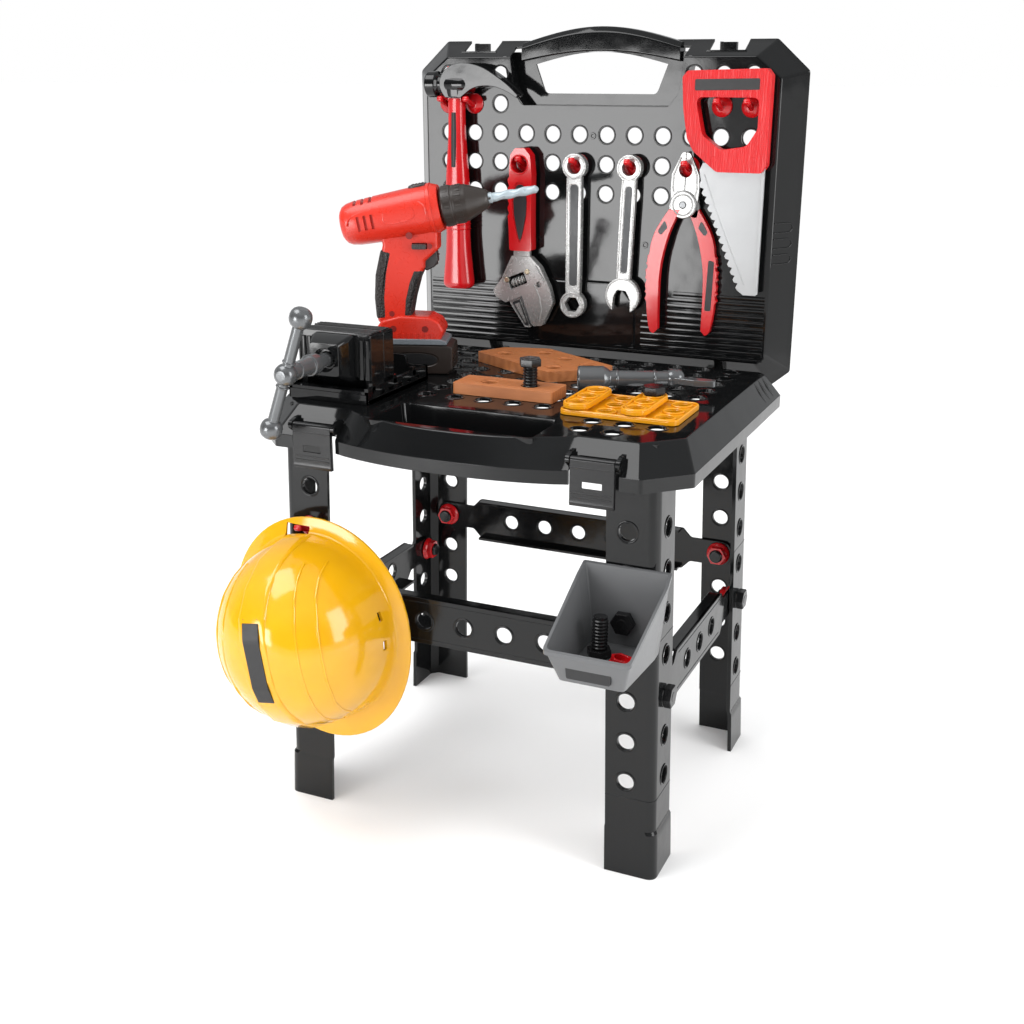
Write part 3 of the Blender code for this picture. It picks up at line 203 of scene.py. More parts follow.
def rubber(name, rgb, cell, depth):
    """Soft grip with a pebbled skin."""
    m = plastic(name, rgb, 0.55, grain=0.2, bump=0.05)
    nt = m.node_tree
    n, l = nt.nodes, nt.links
    b = n["Principled BSDF"]
    co = [x for x in n if x.type == "TEX_COORD"][0]
    vo = n.new("ShaderNodeTexVoronoi")
    vo.inputs["Scale"].default_value = cell
    l.new(co.outputs["Object"], vo.inputs["Vector"])
    bp = n.new("ShaderNodeBump")
    bp.inputs["Strength"].default_value = depth
    bp.inputs["Distance"].default_value = 0.0012
    bp.invert = True
    l.new(vo.outputs["Distance"], bp.inputs["Height"])
    l.new(bp.outputs["Normal"], b.inputs["Normal"])
    return m


M = {
    "case": wavy_plastic("case_black", (0.0050, 0.0053, 0.0056), 0.08, 20.0, 0.12, 0.36),
    "leg": wavy_plastic("leg_black", (0.0052, 0.0055, 0.0058), 0.13, 34.0, 0.08, 0.34),
    "satin_black": plastic("satin_black", (0.009, 0.009, 0.0095), 0.22, bump=0.03, spec=0.36),
    "vice": wavy_plastic("vice_black", (0.0052, 0.0055, 0.0058), 0.07, 28.0, 0.10, 0.42),
    "red": plastic("tool_red", (0.52, 0.006, 0.009), 0.2, dark=(0.43, 0.004, 0.007), coat=0.25),
    "saw_red": grained_plastic("saw_red", (0.60, 0.007, 0.010), 0.34),
    "drill_red": plastic("drill_red", (0.58, 0.026, 0.012), 0.3, dark=(0.50, 0.020, 0.009), bump=0.12, grain_scale=1500),
    "grip": rubber("grip_rubber", (0.022, 0.018, 0.017), 420.0, 0.9),
    "trigger": plastic("trigger_dark", (0.035, 0.03, 0.03), 0.4, bump=0.1),
    "chuck": plastic("chuck_dark", (0.028, 0.022, 0.019), 0.36, bump=0.1),
    "battery": plastic("battery_dark", (0.024, 0.017, 0.014), 0.38, bump=0.12),
    "bit": plastic("bit_grey", (0.40, 0.47, 0.51), 0.3, metallic=0.2, bump=0.01),
    "plate_grey": plastic("plate_grey", (0.17, 0.19, 0.21), 0.42, bump=0.35, grain=0.4, grain_scale=500, blotch=700,
                          dark=(0.11, 0.125, 0.14)),
    "silver": plastic("silver_plastic", (0.37, 0.37, 0.365), 0.27, metallic=0.6, bump=0.012, dark=(0.33, 0.33, 0.325), grain=0.08),
    # painted shade: near-black for recess floors and gaps between parts on the spanners and pliers
    "silver_dark": plastic("painted_recess_shade_black", (0.02, 0.022, 0.025), 0.35, metallic=0.1, bump=0.02),
    "steel_saw": plastic("saw_silver", (0.33, 0.335, 0.34), 0.36, metallic=0.5, bump=0.012, dark=(0.30, 0.305, 0.31), grain=0.08),
    "screw": plastic("screw_grey", (0.15, 0.155, 0.16), 0.22, metallic=0.6, bump=0.015, grain=0.08),
    "bin": plastic("bin_grey", (0.115, 0.118, 0.122), 0.3, bump=0.006, grain=0.05),
    "yellow": plastic("helmet_yellow", (0.70, 0.36, 0.006), 0.14, dark=(0.64, 0.31, 0.004), coat=0.3, sub=0.06),
    "plate": plastic("plate_yellow", (0.74, 0.31, 0.004), 0.24, dark=(0.68, 0.27, 0.003), coat=0.15, sub=0.06),
    "wood": wood_plastic("wood_look"),
    "label": plastic("label_black", (0.012, 0.012, 0.013), 0.45, bump=0.02),
    "label_white": plastic("label_white", (0.78, 0.78, 0.78), 0.4, bump=0.02),
    "hole_dark": plastic("recess_dark", (0.006, 0.006, 0.006), 0.5, bump=0.02),
    # painted shade: darker red for the screw holes on the drill's sides
    "drill_recess": plastic("drill_red_painted_hole_shade", (0.20, 0.006, 0.004), 0.5, bump=0.02),
    "brass": plastic("screw_head_steel", (0.50, 0.44, 0.32), 0.28, metallic=0.9, bump=0.03),
}


# ---- shapes, in millimetres ------------------------------------------------------------
def loft(bm, rings, caps=True):
    made = [[bm.verts.new(p) for p in ring] for ring in rings]
    n = len(made[0])
    for a, b in zip(made, made[1:]):
        for i in range(n):
            bm.faces.new((a[i], a[(i + 1) % n], b[(i + 1) % n], b[i]))
    if caps:
        bm.faces.new(list(reversed(made[0])))
        bm.faces.new(made[-1])
    return bm


def prism(bm, outline, axis, low, high):
    place = {"x": lambda p, t: (t, p[0], p[1]), "y": lambda p, t: (p[0], t, p[1]), "z": lambda p, t: (p[0], p[1], t)}[axis]
    return loft(bm, [[place(p, low) for p in outline], [place(p, high) for p in outline]])


def box(bm, low, high):
    return prism(bm, [(low[0], low[1]), (high[0], low[1]), (high[0], high[1]), (low[0], high[1])], "z", low[2], high[2])


def basis(direction):
    d = Vector(direction).normalized()
    side = d.cross(Vector((0, 0, 1)))
    if side.length < 1e-3:
        side = Vector((1, 0, 0))
    side.normalize()
    return d, side, side.cross(d)


def turned(bm, start, direction, profile, sides=36, phase=0.0):
    d, s, u = basis(direction)
    o = Vector(start)
    return loft(bm, [[o + d * t + s * (r * math.cos(phase + 2 * math.pi * i / sides)) + u * (r * math.sin(phase + 2 * math.pi * i / sides))
                      for i in range(sides)] for t, r in profile])


def rod(bm, a, b, radius, sides=24):
    a, b = Vector(a), Vector(b)
    return turned(bm, a, b - a, [(0, radius), ((b - a).length, radius)], sides)


def ring(bm, centre, direction, major, minor, sides=32, small=8, squash=1.0):
    """A ring bead round an axis."""
    d, s, u = basis(direction)
    o = Vector(centre)
    loops = []
    for i in range(sides):
        a = 2 * math.pi * i / sides
        out = s * math.cos(a) + u * math.sin(a)
        loops.append([o + out * (major + minor * math.cos(2 * math.pi * k / small)) + d * (minor * squash * math.sin(2 * math.pi * k / small))
                      for k in range(small)])
    made = [[bm.verts.new(p) for p in loop] for loop in loops]
    for i in range(sides):
        a, b = made[i], made[(i + 1) % sides]
        for k in range(small):
            bm.faces.new((a[k], a[(k + 1) % small], b[(k + 1) % small], b[k]))
    return bm


def ball(bm, centre, radius, sides=32):
    n = sides // 2
    prof = [(-radius * math.cos(math.pi * i / n), radius * max(0.02, math.sin(math.pi * i / n))) for i in range(n + 1)]
    return turned(bm, centre, (0, 0, 1), prof, sides)


def tube_path(bm, points, radii, sides=16):
    pts = [Vector(p) for p in points]
    _, side, _ = basis(pts[1] - pts[0])
    rings = []
    for i, p in enumerate(pts):
        before = (p - pts[i - 1]).normalized() if i else (pts[1] - p).normalized()
        after = (pts[i + 1] - p).normalized() if i + 1 < len(pts) else before
        t = (before + after).normalized()
        side = (side - t * side.dot(t)).normalized()
        up = side.cross(t)
        r = radii[i] if isinstance(radii, (list, tuple)) else radii
        rings.append([p + side * (r * math.cos(2 * math.pi * k / sides)) + up * (r * math.sin(2 * math.pi * k / sides)) for k in range(sides)])
    return loft(bm, rings)


def arc(cx, cy, r, start, end, n):
    return [(cx + r * math.cos(math.radians(start + (end - start) * i / n)),
             cy + r * math.sin(math.radians(start + (end - start) * i / n))) for i in range(n + 1)]


def smooth_curve(points, per=6):
    """A Catmull-Rom curve through points (open)."""
    P = [Vector(p) for p in points]
    out = []
    for i in range(len(P) - 1):
        p0, p1, p2, p3 = P[max(i - 1, 0)], P[i], P[i + 1], P[min(i + 2, len(P) - 1)]
        for k in range(per):
            t = k / per
            out.append(0.5 * ((2 * p1) + (p2 - p0) * t + (2 * p0 - 5 * p1 + 4 * p2 - p3) * t * t + (3 * p1 - p0 - 3 * p2 + p3) * t ** 3))
    return out + [P[-1]]


def rounded_poly(points, radius, n=4):
    """A closed outline with each corner rounded; radius is one number or one per corner."""
    out = []
    count = len(points)
    for i, p in enumerate(points):
        r = radius[i] if isinstance(radius, (list, tuple)) else radius
        p = Vector(p)
        a, b = Vector(points[i - 1]) - p, Vector(points[(i + 1) % count]) - p
        la, lb = a.length, b.length
        a, b = a.normalized(), b.normalized()
        cos = max(-1, min(1, a.dot(b)))
        half = math.acos(cos) / 2
        if r <= 0 or half > math.radians(88):
            out.append(tuple(p))
            continue
        cut = min(r / math.tan(half), la * 0.45, lb * 0.45)
        s, e = p + a * cut, p + b * cut
        for k in range(n + 1):
            t = k / n
            q = s * (1 - t) ** 2 + p * 2 * t * (1 - t) + e * t * t
            out.append(tuple(q))
    return out


def super_ring(centre, fa, fb, a, b, power=2.6, n=28, squash_low=None):
    """A rounded-box loop: centre, two directions and two half sizes."""
    c, fa, fb = Vector(centre), Vector(fa), Vector(fb)
    out = []
    for i in range(n):
        t = 2 * math.pi * i / n
        ct, st = math.cos(t), math.sin(t)
        x = a * math.copysign(abs(ct) ** (2 / power), ct)
        y = b * math.copysign(abs(st) ** (2 / power), st)
        out.append(c + fa * x + fb * y)
    return out


def clean(bm):
    bmesh.ops.recalc_face_normals(bm, faces=bm.faces)
    if bm.calc_volume(signed=True) < 0:
        bmesh.ops.reverse_faces(bm, faces=bm.faces)
    return bm


def raw_mesh(builders):
    whole = bpy.data.meshes.new("w")
    bm = bmesh.new()
    for f in builders:
        one = bmesh.new()
        f(one)
        clean(one)
        t = bpy.data.meshes.new("t")
        one.to_mesh(t)
        one.free()
        bm.from_mesh(t)
        bpy.data.meshes.remove(t)
    bm.to_mesh(whole)
    bm.free()
    return whole


def cut_mesh(mesh, cutters):
    """mesh with each group of cutters taken out."""
    link = bpy.context.scene.collection.objects.link
    obj = bpy.data.objects.new("cut_target", mesh)
    link(obj)
    tools = []
    for group in cutters:
        t = bpy.data.objects.new("cutter", raw_mesh(group if isinstance(group, (list, tuple)) else [group]))
        link(t)
        tools.append(t)
        mod = obj.modifiers.new("c", "BOOLEAN")
        mod.operation = "DIFFERENCE"
        mod.object = t
        mod.solver = "EXACT"
    bpy.context.view_layer.update()
    made = bpy.data.meshes.new_from_object(obj.evaluated_get(bpy.context.evaluated_depsgraph_get()))
    for o in [obj] + tools:
        data = o.data
        bpy.data.objects.remove(o, do_unlink=True)
        bpy.data.meshes.remove(data)
    return made


def piece(name, parts, mat, body, nodes=(), bevel=0.5, segments=2, angle=32, turn=None, smooth=True, sharp=35):
    """A piece from parts: each is a builder, or (builder, cutter groups) or (builder, cutter groups, finish)."""
    mats = [mat]
    whole = bmesh.new()
    for part in parts:
        if not isinstance(part, tuple):
            part = (part, ())
        builder, cuts = part[0], part[1]
        finish = part[2] if len(part) > 2 else mat
        if finish not in mats:
            mats.append(finish)
        mesh = raw_mesh(builder if isinstance(builder, list) else [builder])
        if cuts:
            mesh = cut_mesh(mesh, cuts)
        index = mats.index(finish)
        start = len(whole.faces)
        whole.from_mesh(mesh)
        whole.faces.ensure_lookup_table()
        for f in whole.faces[start:]:
            f.material_index = index
        bpy.data.meshes.remove(mesh)
    whole.transform(WORLD @ turn if turn is not None else WORLD)
    mesh = bpy.data.meshes.new(name)
    whole.to_mesh(mesh)
    whole.free()
    for m in mats:
        mesh.materials.append(M[m])
    obj = bpy.data.objects.new(name, mesh)
    bpy.context.scene.collection.objects.link(obj)
    if smooth:
        mesh.shade_smooth()
        mesh.set_sharp_from_angle(angle=math.radians(sharp))
    if bevel:
        bv = obj.modifiers.new("edge_round", "BEVEL")
        bv.width = bevel * MM
        bv.segments = segments
        bv.limit_method = "ANGLE"
        bv.angle_limit = math.radians(angle)
        bv.use_clamp_overlap = True
        bv.miter_outer = "MITER_ARC"
        bv.harden_normals = False
        wn = obj.modifiers.new("face_normals", "WEIGHTED_NORMAL")
        wn.keep_sharp = True
    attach(obj, body)
    if nodes:
        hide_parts(*nodes)
    return obj


def hole(x, y, z, axis, length=20.0, radius=8.0, sides=32, phase=0.0):
    d = {"x": (1, 0, 0), "y": (0, 1, 0), "z": (0, 0, 1)}[axis]
    start = Vector((x, y, z)) - Vector(d) * (length / 2)
    return lambda bm: turned(bm, start, d, [(0, radius), (length, radius)], sides, phase)


def bead(x, y, z, axis, major=9.0, minor=0.9, squash=0.8, sides=32):
    d = {"x": (1, 0, 0), "y": (0, 1, 0), "z": (0, 0, 1)}[axis]
    return lambda bm: ring(bm, (x, y, z), d, major, minor, sides, 8, squash)


# ---- worktop ---------------------------------------------------------------------------
def top_outline(hx, f, r, chamfer, bulge, inset=0.0):
    hx, f, r = hx - inset, f + inset, r - inset
    c = chamfer - inset * 0.4
    right = []
    for i in range(13):
        x = 112.0 * i / 12
        right.append((x, f - bulge * max(0.0, math.cos(math.pi / 2 * (x / 112.0) ** 1.25)) ** 0.85))
    right += rounded_poly([(112.5, f), (hx - c, f), (hx, f + c), (hx, r - 6), (hx - 6, r), (112.5, r)], [0, 6, 6, 3, 3, 0])[1:-1]
    left = [(-x, y) for x, y in reversed(right[1:])]
    return right + left


def worktop_outer(bm):
    lv = [(376.0, 212, -341, 4, 35, 17), (379.0, 212, -341, 4, 35, 17), (388.0, 212, -341, 4, 35, 17), (389.0, 211.2, -340.2, 3.4, 35, 17),
          (410.6, 198.2, -316.2, -10.8, 30, 32.5), (411.6, 197.4, -315.2, -11.6, 30, 32.5), (412.0, 196.4, -314.2, -12.6, 30, 32)]
    loft(bm, [[(x, y, z) for x, y in top_outline(hx, f, r, c, b)] for z, hx, f, r, c, b in lv])


def worktop_inner(bm):
    lv = [(375.0, 212, -341, 4, 35, 17), (388.0, 212, -341, 4, 35, 17), (409.4, 199, -318.2, -10, 30, 31)]
    loft(bm, [[(x, y, z) for x, y in top_outline(hx, f, r, c, b, 2.6)] for z, hx, f, r, c, b in lv])


TRAY = rounded_poly([(-79, -272), (79, -272), (79, -338), (-79, -338)], 7, 5)


def tray_shape(dz0, dz1, grow0, grow1):
    def scaled(g):
        return [(x * (1 + g / 79), (y + 305) * (1 + g / 33) - 305) for x, y in TRAY]
    return lambda bm: loft(bm, [[(x, y, dz0) for x, y in scaled(grow0)], [(x, y, dz1) for x, y in scaled(grow1)]])


def latch_recess(sx, grow=0.0, out=0.0):
    """The arched bay that a latch sits in."""
    x0, x1 = sx * 135.5 - 22.5 - grow, sx * 135.5 + 22.5 + grow
    back = -329.5 + grow
    outline = rounded_poly([(x0, -349 + out), (x1, -349 + out), (x1, back), (x0, back)], [0, 0, 7, 7])
    return lambda bm: loft(bm, [[(x, y, 372) for x, y in outline], [(x, y, 404.5 + grow) for x, y in outline],
                                [(sx * 135.5 + (x - sx * 135.5) * .88, y, 408.0 + grow) for x, y in outline]])


def worktop_spots():
    out = []
    for i in range(12):
        for k in range(10):
            x, y = -165 + PITCH * i, -25 - PITCH * k
            if y < -240 and abs(x) < 100:
                continue
            if y < -170 and x < -95:
                continue
            if y < -290 and abs(x) > 150:
                continue
            out.append((x, y))
    return out


spots = worktop_spots()
holes = [hole(x, y, TOP_Z, "z", 14) for x, y in spots]
recess_cut = [[latch_recess(-1)], [latch_recess(1)]]


def skirt_ridge(t):
    """A slanted grip ridge on the right skirt, near the back."""
    y = -58 + t * 15
    return lambda bm: tube_path(bm, [(197.5, y - 3, 410.5), (203.5, y, 401.5), (209.0, y + 3, 391.5)], [1.0, 1.7, 1.0], 12)


def left_ridge(t):
    y = -58 + t * 15
    return lambda bm: tube_path(bm, [(-197.5, y - 3, 410.5), (-203.5, y, 401.5), (-209.0, y + 3, 391.5)], [1.0, 1.7, 1.0], 12)


def hinge_ear(sx):
    x0, x1 = sorted((sx * 128.6, sx * 138))
    outline = [(-1, RIM_Z + 4), (-1, 364), (HINGE_Y, HINGE_Z - 6)] + arc(HINGE_Y, HINGE_Z, 5.7, -60, 90, 10) + [(1.5, 384)]
    return lambda bm: prism(bm, outline, "x", x0, x1)


def latch_ear(x0, x1):
    outline = [(-338, 392), (-341, 394)] + arc(-341.5, 399, 4.0, 215, 90, 8) + [(-336, 404.6), (-328, 404.6), (-328, 392)]
    return lambda bm: prism(bm, outline, "x", x0, x1)


ears = []
for sx in (-1, 1):
    for c in (113.3, 157.7):
        a, b = sorted((sx * (c - 1.8), sx * (c + 1.8)))
        ears.append((latch_ear(a, b), [[hole(sx * c, -341.5, 399, "x", 8, 1.9)]]))


def boss_under(x, y):
    return lambda bm: turned(bm, (x, y, 409.8), (0, 0, -1), [(0, 10.2), (4.5, 9.6), (4.5, 8.2), (0, 8.2)], 24)


def ledge_band(bm):
    """The stepped band round the skirt's foot."""
    lv = [(378.6, 1.0), (379.2, 0.0), (380.4, 0.0), (381.0, 1.0)]
    loft(bm, [[(x, y, z) for x, y in top_outline(212.0, -341.0, 4.0, 35, 17, s)] for z, s in lv])


piece("worktop_moulding", [
    (worktop_outer, [[worktop_inner], [tray_shape(390, 420, 0, 0.2)], *recess_cut, holes]),
    (tray_shape(381.5, 411.5, -3.5, 2.2), [[tray_shape(384, 420, -5, 0.2)]]),
    *[(latch_recess(sx, 2.4, 5.5), [[latch_recess(sx, 0, -1)], [lambda bm: box(bm, (-260, -360, 360), (260, -300, 388.5))],
                                    [lambda bm, sx=sx: prism(bm, [(-345, 380), (-345, 420), (-318, 420), (-316.5, 412.5), (-341.5, 388)], "x",
                                                             sx * 135.5 - 40, sx * 135.5 + 40)]])
      for sx in (-1, 1)],
    *[lambda bm, s=s: ring(bm, (s[0], s[1], TOP_Z + 0.05), (0, 0, 1), 9.2, 1.1, 32, 8, 0.5) for s in spots],
    *[skirt_ridge(t) for t in range(3)], *[left_ridge(t) for t in range(3)],
    *[(hinge_ear(sx), [[hole(sx * 133.3, HINGE_Y, HINGE_Z, "x", 16, 3.2)]]) for sx in (-1, 1)],
    *ears], "case", "bench", ["worktop"], bevel=0.7, segments=2)

# leg sockets under the corners
piece("worktop_leg_sockets", [
    (lambda bm, q=q: box(bm, (q[0], q[2], LEG_TOP + GAP), (q[1], q[3], 410)),
     [[lambda bm, q=q: box(bm, (q[0] + 2.2, q[2] + 2.2, 380), (q[1] - 2.2, q[3] - 2.2, 405))]])
    for q in ((150, 180, -310, -278), (-180, -150, -310, -278), (150, 180, -56, -24), (-180, -150, -56, -24))],
    "leg", "bench", bevel=0.4)


# ---- latches ---------------------------------------------------------------------------
def latch(name, sx, body):
    xa, xb = sx * 135.5 - 19.8, sx * 135.5 + 19.8
    ya = -341.5
    plate = [(ya - 3.4, 399.5), (ya - 3.6, 366), (ya - 4.2, 362.5), (ya - 3.0, 359.6), (ya - .5, 359.9), (ya - 1.2, 366), (ya - 1.2, 397)]
    parts = [(lambda bm: prism(bm, plate, "x", xa, xb), [[lambda bm: box(bm, (sx * 135.5 - 9, ya - 8, 375.5), (sx * 135.5 + 9, ya + 6, 381.5))]]),
             lambda bm: turned(bm, (xa, ya, 399), (1, 0, 0), [(0, 3.3), (39.6, 3.3)], 24),
             lambda bm: rod(bm, (xa - 3.2, ya, 399), (xb + 3.2, ya, 399), 1.5, 16),
             lambda bm: rod(bm, (xa + 2, ya - 3.5, 371.5), (xb - 2, ya - 3.5, 371.5), 0.7, 12),
             lambda bm: rod(bm, (xa + 2, ya - 3.5, 367.8), (xb - 2, ya - 3.5, 367.8), 0.7, 12),
             lambda bm: box(bm, (xa, ya - 3.7, 392.5), (xb, ya - 2.8, 394)),
             lambda bm: box(bm, (xa, ya - 3.2, 359.6), (xa + 1.4, ya + 1.0, 396)),
             lambda bm: box(bm, (xb - 1.4, ya - 3.2, 359.6), (xb, ya + 1.0, 396))]
    piece(f"{name}_moulding", parts, "satin_black", body, [name], bevel=0.4)


latch("latch_left", -1, "latch_left")
latch("latch_right", 1, "latch_right")


# ---- lid -------------------------------------------------------------------------------
def lid_outline(hx, top, bottom, ct, cb, drop, inset=0.0):
    hx, top, bottom = hx - inset, top - inset, bottom + inset
    pts = [(-hx + cb, bottom), (hx - cb, bottom), (hx, bottom + cb * 0.85), (hx, top - ct * drop), (hx - ct, top),
           (-hx + ct, top), (-hx, top - ct * drop), (-hx, bottom + cb * 0.85)]
    return rounded_poly(pts, 5, 4)


LID_A = (192, 717, 418, 25, 10, 0.8)
LID_B = (213, 733.5, 390, 33, 19, 0.9)


def lid_ring(f, inset=0.0):
    a, b = lid_outline(*LID_A, inset), lid_outline(*LID_B, inset)
    return [((1 - f) * p[0] + f * q[0], (1 - f) * p[1] + f * q[1]) for p, q in zip(a, b)]


def lid_outer(bm):
    loft(bm, [[(x, y, z) for x, z in lid_ring(f, i)] for y, f, i in
              ((0.0, 0.0, 1.2), (0.35, 0.012, 0.35), (1.2, 0.04, 0.0), (22.0, 22 / 30, 0.0), (26.5, 26.5 / 30, 0.0), (29.4, 1.0, 0.0), (30.0, 1.0, 0.5))])


def lid_inner(bm):
    loft(bm, [[(x, y, z) for x, z in lid_ring(f, 2.4)] for y, f in ((2.6, 0.09), (31.5, 1.05))])


def recess(x, z0, y0, y1, ztop=760.0):
    return lambda bm: prism(bm, rounded_poly([(-x, z0 + 14), (-x + 10, z0), (x - 10, z0), (x, z0 + 14), (x + 9, ztop), (-x - 9, ztop)],
                                             [8, 8, 8, 8, 0, 0]), "y", y0, y1)


def grip_points(lo, hi, half, n=20):
    return [(-half + 2 * half * i / n, lo + (hi - lo) * math.cos(math.pi / 2 * (-1 + 2 * i / n))) for i in range(n + 1)]


def grip_bar(bm):
    """The carry handle: a bar with rounded front edges, arched between its cheeks."""
    n = 24
    sections = []
    for i in range(n + 1):
        x = -86 + 172 * i / n
        u = x / 86
        top = 731 + 15.5 * math.cos(math.pi / 2 * u)
        low = 711 + 11.5 * math.cos(math.pi / 2 * u * 0.92)
        prof = rounded_poly([(12.0, low + 1.5), (12.0, top - 5.5), (17.0, top), (30.0, top), (30.0, low), (13.0, low)], [1.5, 3.5, 3.5, 1, 1, 1.5], 3)
        sections.append([(x, y, z) for y, z in prof])
    loft(bm, sections)


lid_spots = [(-165 + PITCH * i, BOARD_Z0 + ROW_STEP * r) for i in range(12) for r in range(5) if not (r >= 3 and 3 <= i <= 8)]
lid_holes = [hole(x, 1.5, z, "y", 9, 7.9) for x, z in lid_spots]
notches = [(lambda bm, sx=sx: prism(bm, [(sx * 134 - 18, 738), (sx * 134 - 18, 723), (sx * 134 + 18, 723), (sx * 134 + 18, 738)], "y", 8, 40)) for sx in (-1, 1)]
window = rounded_poly([(-61, 681), (61, 681)] + list(reversed(grip_points(710, 722, 72, 14))), [6, 6] + [0] * 15)


def slats(x0, x1, z0, z1, step=6.4, notch=0):
    """Horizontal raised slats, each with a rounded face."""
    out = []
    k = 0
    z = z0
    while z + step <= z1 + 0.1:
        a, b = x0, x1
        if notch and z > z1 - notch:
            cut = (z - (z1 - notch)) * 1.3
            if x0 < 0:
                b = x1 - cut
            else:
                a = x0 + cut
        out.append(lambda bm, a=a, b=b, z=z: loft(bm, [
            [(x, y, zz) for y, zz in ((0.6, z + .5), (-0.7, z + 1.1), (-1.0, z + step * .5), (-0.7, z + step - 1.1), (0.6, z + step - .5))] for x in (a, b)]))
        z += step
        k += 1
    return out


def u_groove(k):
    """A finger grip outline on the lid's right side wall."""
    z = 524 + 15.5 * k
    pts = []
    for y, dz in ((2.0, 4.6), (16.0, 4.6), (20.0, 3.4), (21.8, 0.0), (20.0, -3.4), (16.0, -4.6), (2.0, -4.6)):
        f = y / 30
        pts.append((192 + 21 * f + 0.1, y, z + dz))
    return lambda bm: tube_path(bm, smooth_curve(pts, 4), 0.75, 8)


def ear(sx):
    x0, x1 = sorted((sx * 120, sx * 128.2))
    outline = [(30, 392), (18, 402), (20.2, HINGE_Z)] + arc(HINGE_Y, HINGE_Z, 5.8, -180, 0, 12) + [(31.8, 385)]
    return lambda bm: prism(bm, outline, "x", x0, x1)


def bulge(bm):
    """The smooth raised panel between the slatted ones."""
    a = rounded_poly([(-66, 421), (52, 421), (52, 470), (34, 492), (-48, 492), (-66, 470)], 6)
    b = rounded_poly([(-62, 424), (48, 424), (48, 468), (31, 488), (-45, 488), (-62, 468)], 6)
    loft(bm, [[(x, 0.6, z) for x, z in a], [(x, -0.4, z) for x, z in a], [(x, -1.8, z) for x, z in b]])


cheeks = [(lambda bm, sx=sx: prism(bm, [(sx * 79, 670), (sx * 82.5, 666), (sx * 94, 681), (sx * 102, 718), (sx * 98.5, 718), (sx * 90, 683)], "y", 0.8, 21))
          for sx in (-1, 1)]
piece("tool_board_moulding", [
    (lid_outer, [[lid_inner], [recess(90, 669, -2, 19)], [lambda bm: prism(bm, window, "y", -5, 40)], notches, lid_holes]),
    (lambda bm: prism(bm, rounded_poly([(-83, 667), (83, 667), (96, 700), (101, 722), (-101, 722), (-96, 700)], 3), "y", 18.5, 21.0),
     [[lambda bm: prism(bm, window, "y", -5, 40)]]),
    lambda bm: prism(bm, [(0.3, 669.5), (0.3, 666), (20.5, 666), (20.5, 669.5)], "x", -80, 80),
    *cheeks, grip_bar,
    *[(lambda bm, sx=sx: box(bm, (sx * 134 - 20, 8, 720.3), (sx * 134 + 20, 29, 723))) for sx in (-1, 1)],
    *[(lambda bm, sx=sx: box(bm, (sx * 134 - 8, 16, 718), (sx * 134 + 8, 22, 730.5))) for sx in (-1, 1)],
    *[(lambda bm, sx=sx: box(bm, (sx * 134 - 11, 24, 722), (sx * 134 - 8.5, 29, 731))) for sx in (-1, 1)],
    *[lambda bm, s=s: ring(bm, (s[0], 0.0, s[1]), (0, 1, 0), 8.9, 1.0, 32, 8, 0.6) for s in lid_spots],
    *slats(-189, -72, 421, 486, notch=30), *slats(58, 189, 423, 488, notch=34),
    bulge,
    lambda bm: prism(bm, [(-190, 419.5), (190, 419.5), (190, 421.2), (-190, 421.2)], "y", -1.0, 1.0),
    *[lambda bm, x=x, z=z: turned(bm, (x, 0.5, z), (0, -1, 0), [(0, 3.6), (1.6, 3.2), (1.6, 1.8), (0.6, 1.6)], 24)
      for x, z in ((-84, 474), (84, 474), (-176, 566), (0, 640), (176, 560), (-60, 532), (60, 532))],
    *[u_groove(k) for k in range(3)],
    *[ear(sx) for sx in (-1, 1)],
    *[(lambda bm, sx=sx: rod(bm, (sx * 125, HINGE_Y, HINGE_Z), (sx * 137.5, HINGE_Y, HINGE_Z), 2.8)) for sx in (-1, 1)],
], "case", "lid", ["tool_board"], bevel=0.7, segments=2)


# ---- hooks -----------------------------------------------------------------------------
TILT = math.radians(20)


def hook(name, x, z, fy, body):
    z1 = z - 3.0

    def at(t, dz=0.0):
        return (x, fy - t * math.cos(TILT), z1 + t * math.sin(TILT) + dz)

    path = smooth_curve([(x, fy + 1.5, z - 3.4), at(3), at(9), at(16), at(20.5), at(23.2)], 5)
    parts = [lambda bm: turned(bm, (x, fy + 6.4, z), (0, -1, 0), [(0, 5.8), (0.8, 6.6), (7.5, 6.6)], 32),
             lambda bm: turned(bm, (x, fy - 0.3, z), (0, -1, 0), [(0, 10.2), (0.5, 10.5), (1.1, 10.3), (2.0, 9.2), (3.0, 7.2), (3.8, 5.0), (4.2, 2.5)], 40),
             lambda bm: tube_path(bm, path, 2.8, 20),
             lambda bm: turned(bm, Vector(at(23.0)) + Vector((-3.3, 0, 0)), (1, 0, 0), [(0, 1.6), (.5, 2.6), (1.4, 3.0), (5.2, 3.0), (6.1, 2.6), (6.6, 1.6)], 24),
             lambda bm: ball(bm, at(21.5), 3.0, 20)]
    piece(f"{name}_moulding", parts, "red", body, [name], bevel=0)


for name, x, z in (("hook_hammer_left", -165, ROW_B), ("hook_hammer_right", -135, ROW_B), ("hook_spanner", -75, ROW_D),
                   ("hook_ring_spanner", -15, ROW_D), ("hook_combination_spanner", 45, ROW_D), ("hook_pliers", 105, ROW_D),
                   ("hook_saw_left", 135, ROW_B), ("hook_saw_right", 165, ROW_B)):
    hook(name, x, z, 0, "lid")


# ---- legs ------------------------------------------------------------------------------
def leg_corner(z, front):
    f = z / LEG_TOP
    y = (-320 + 4 * f) if front else (-11 - 8 * f)
    return 194 - 9.5 * f, y


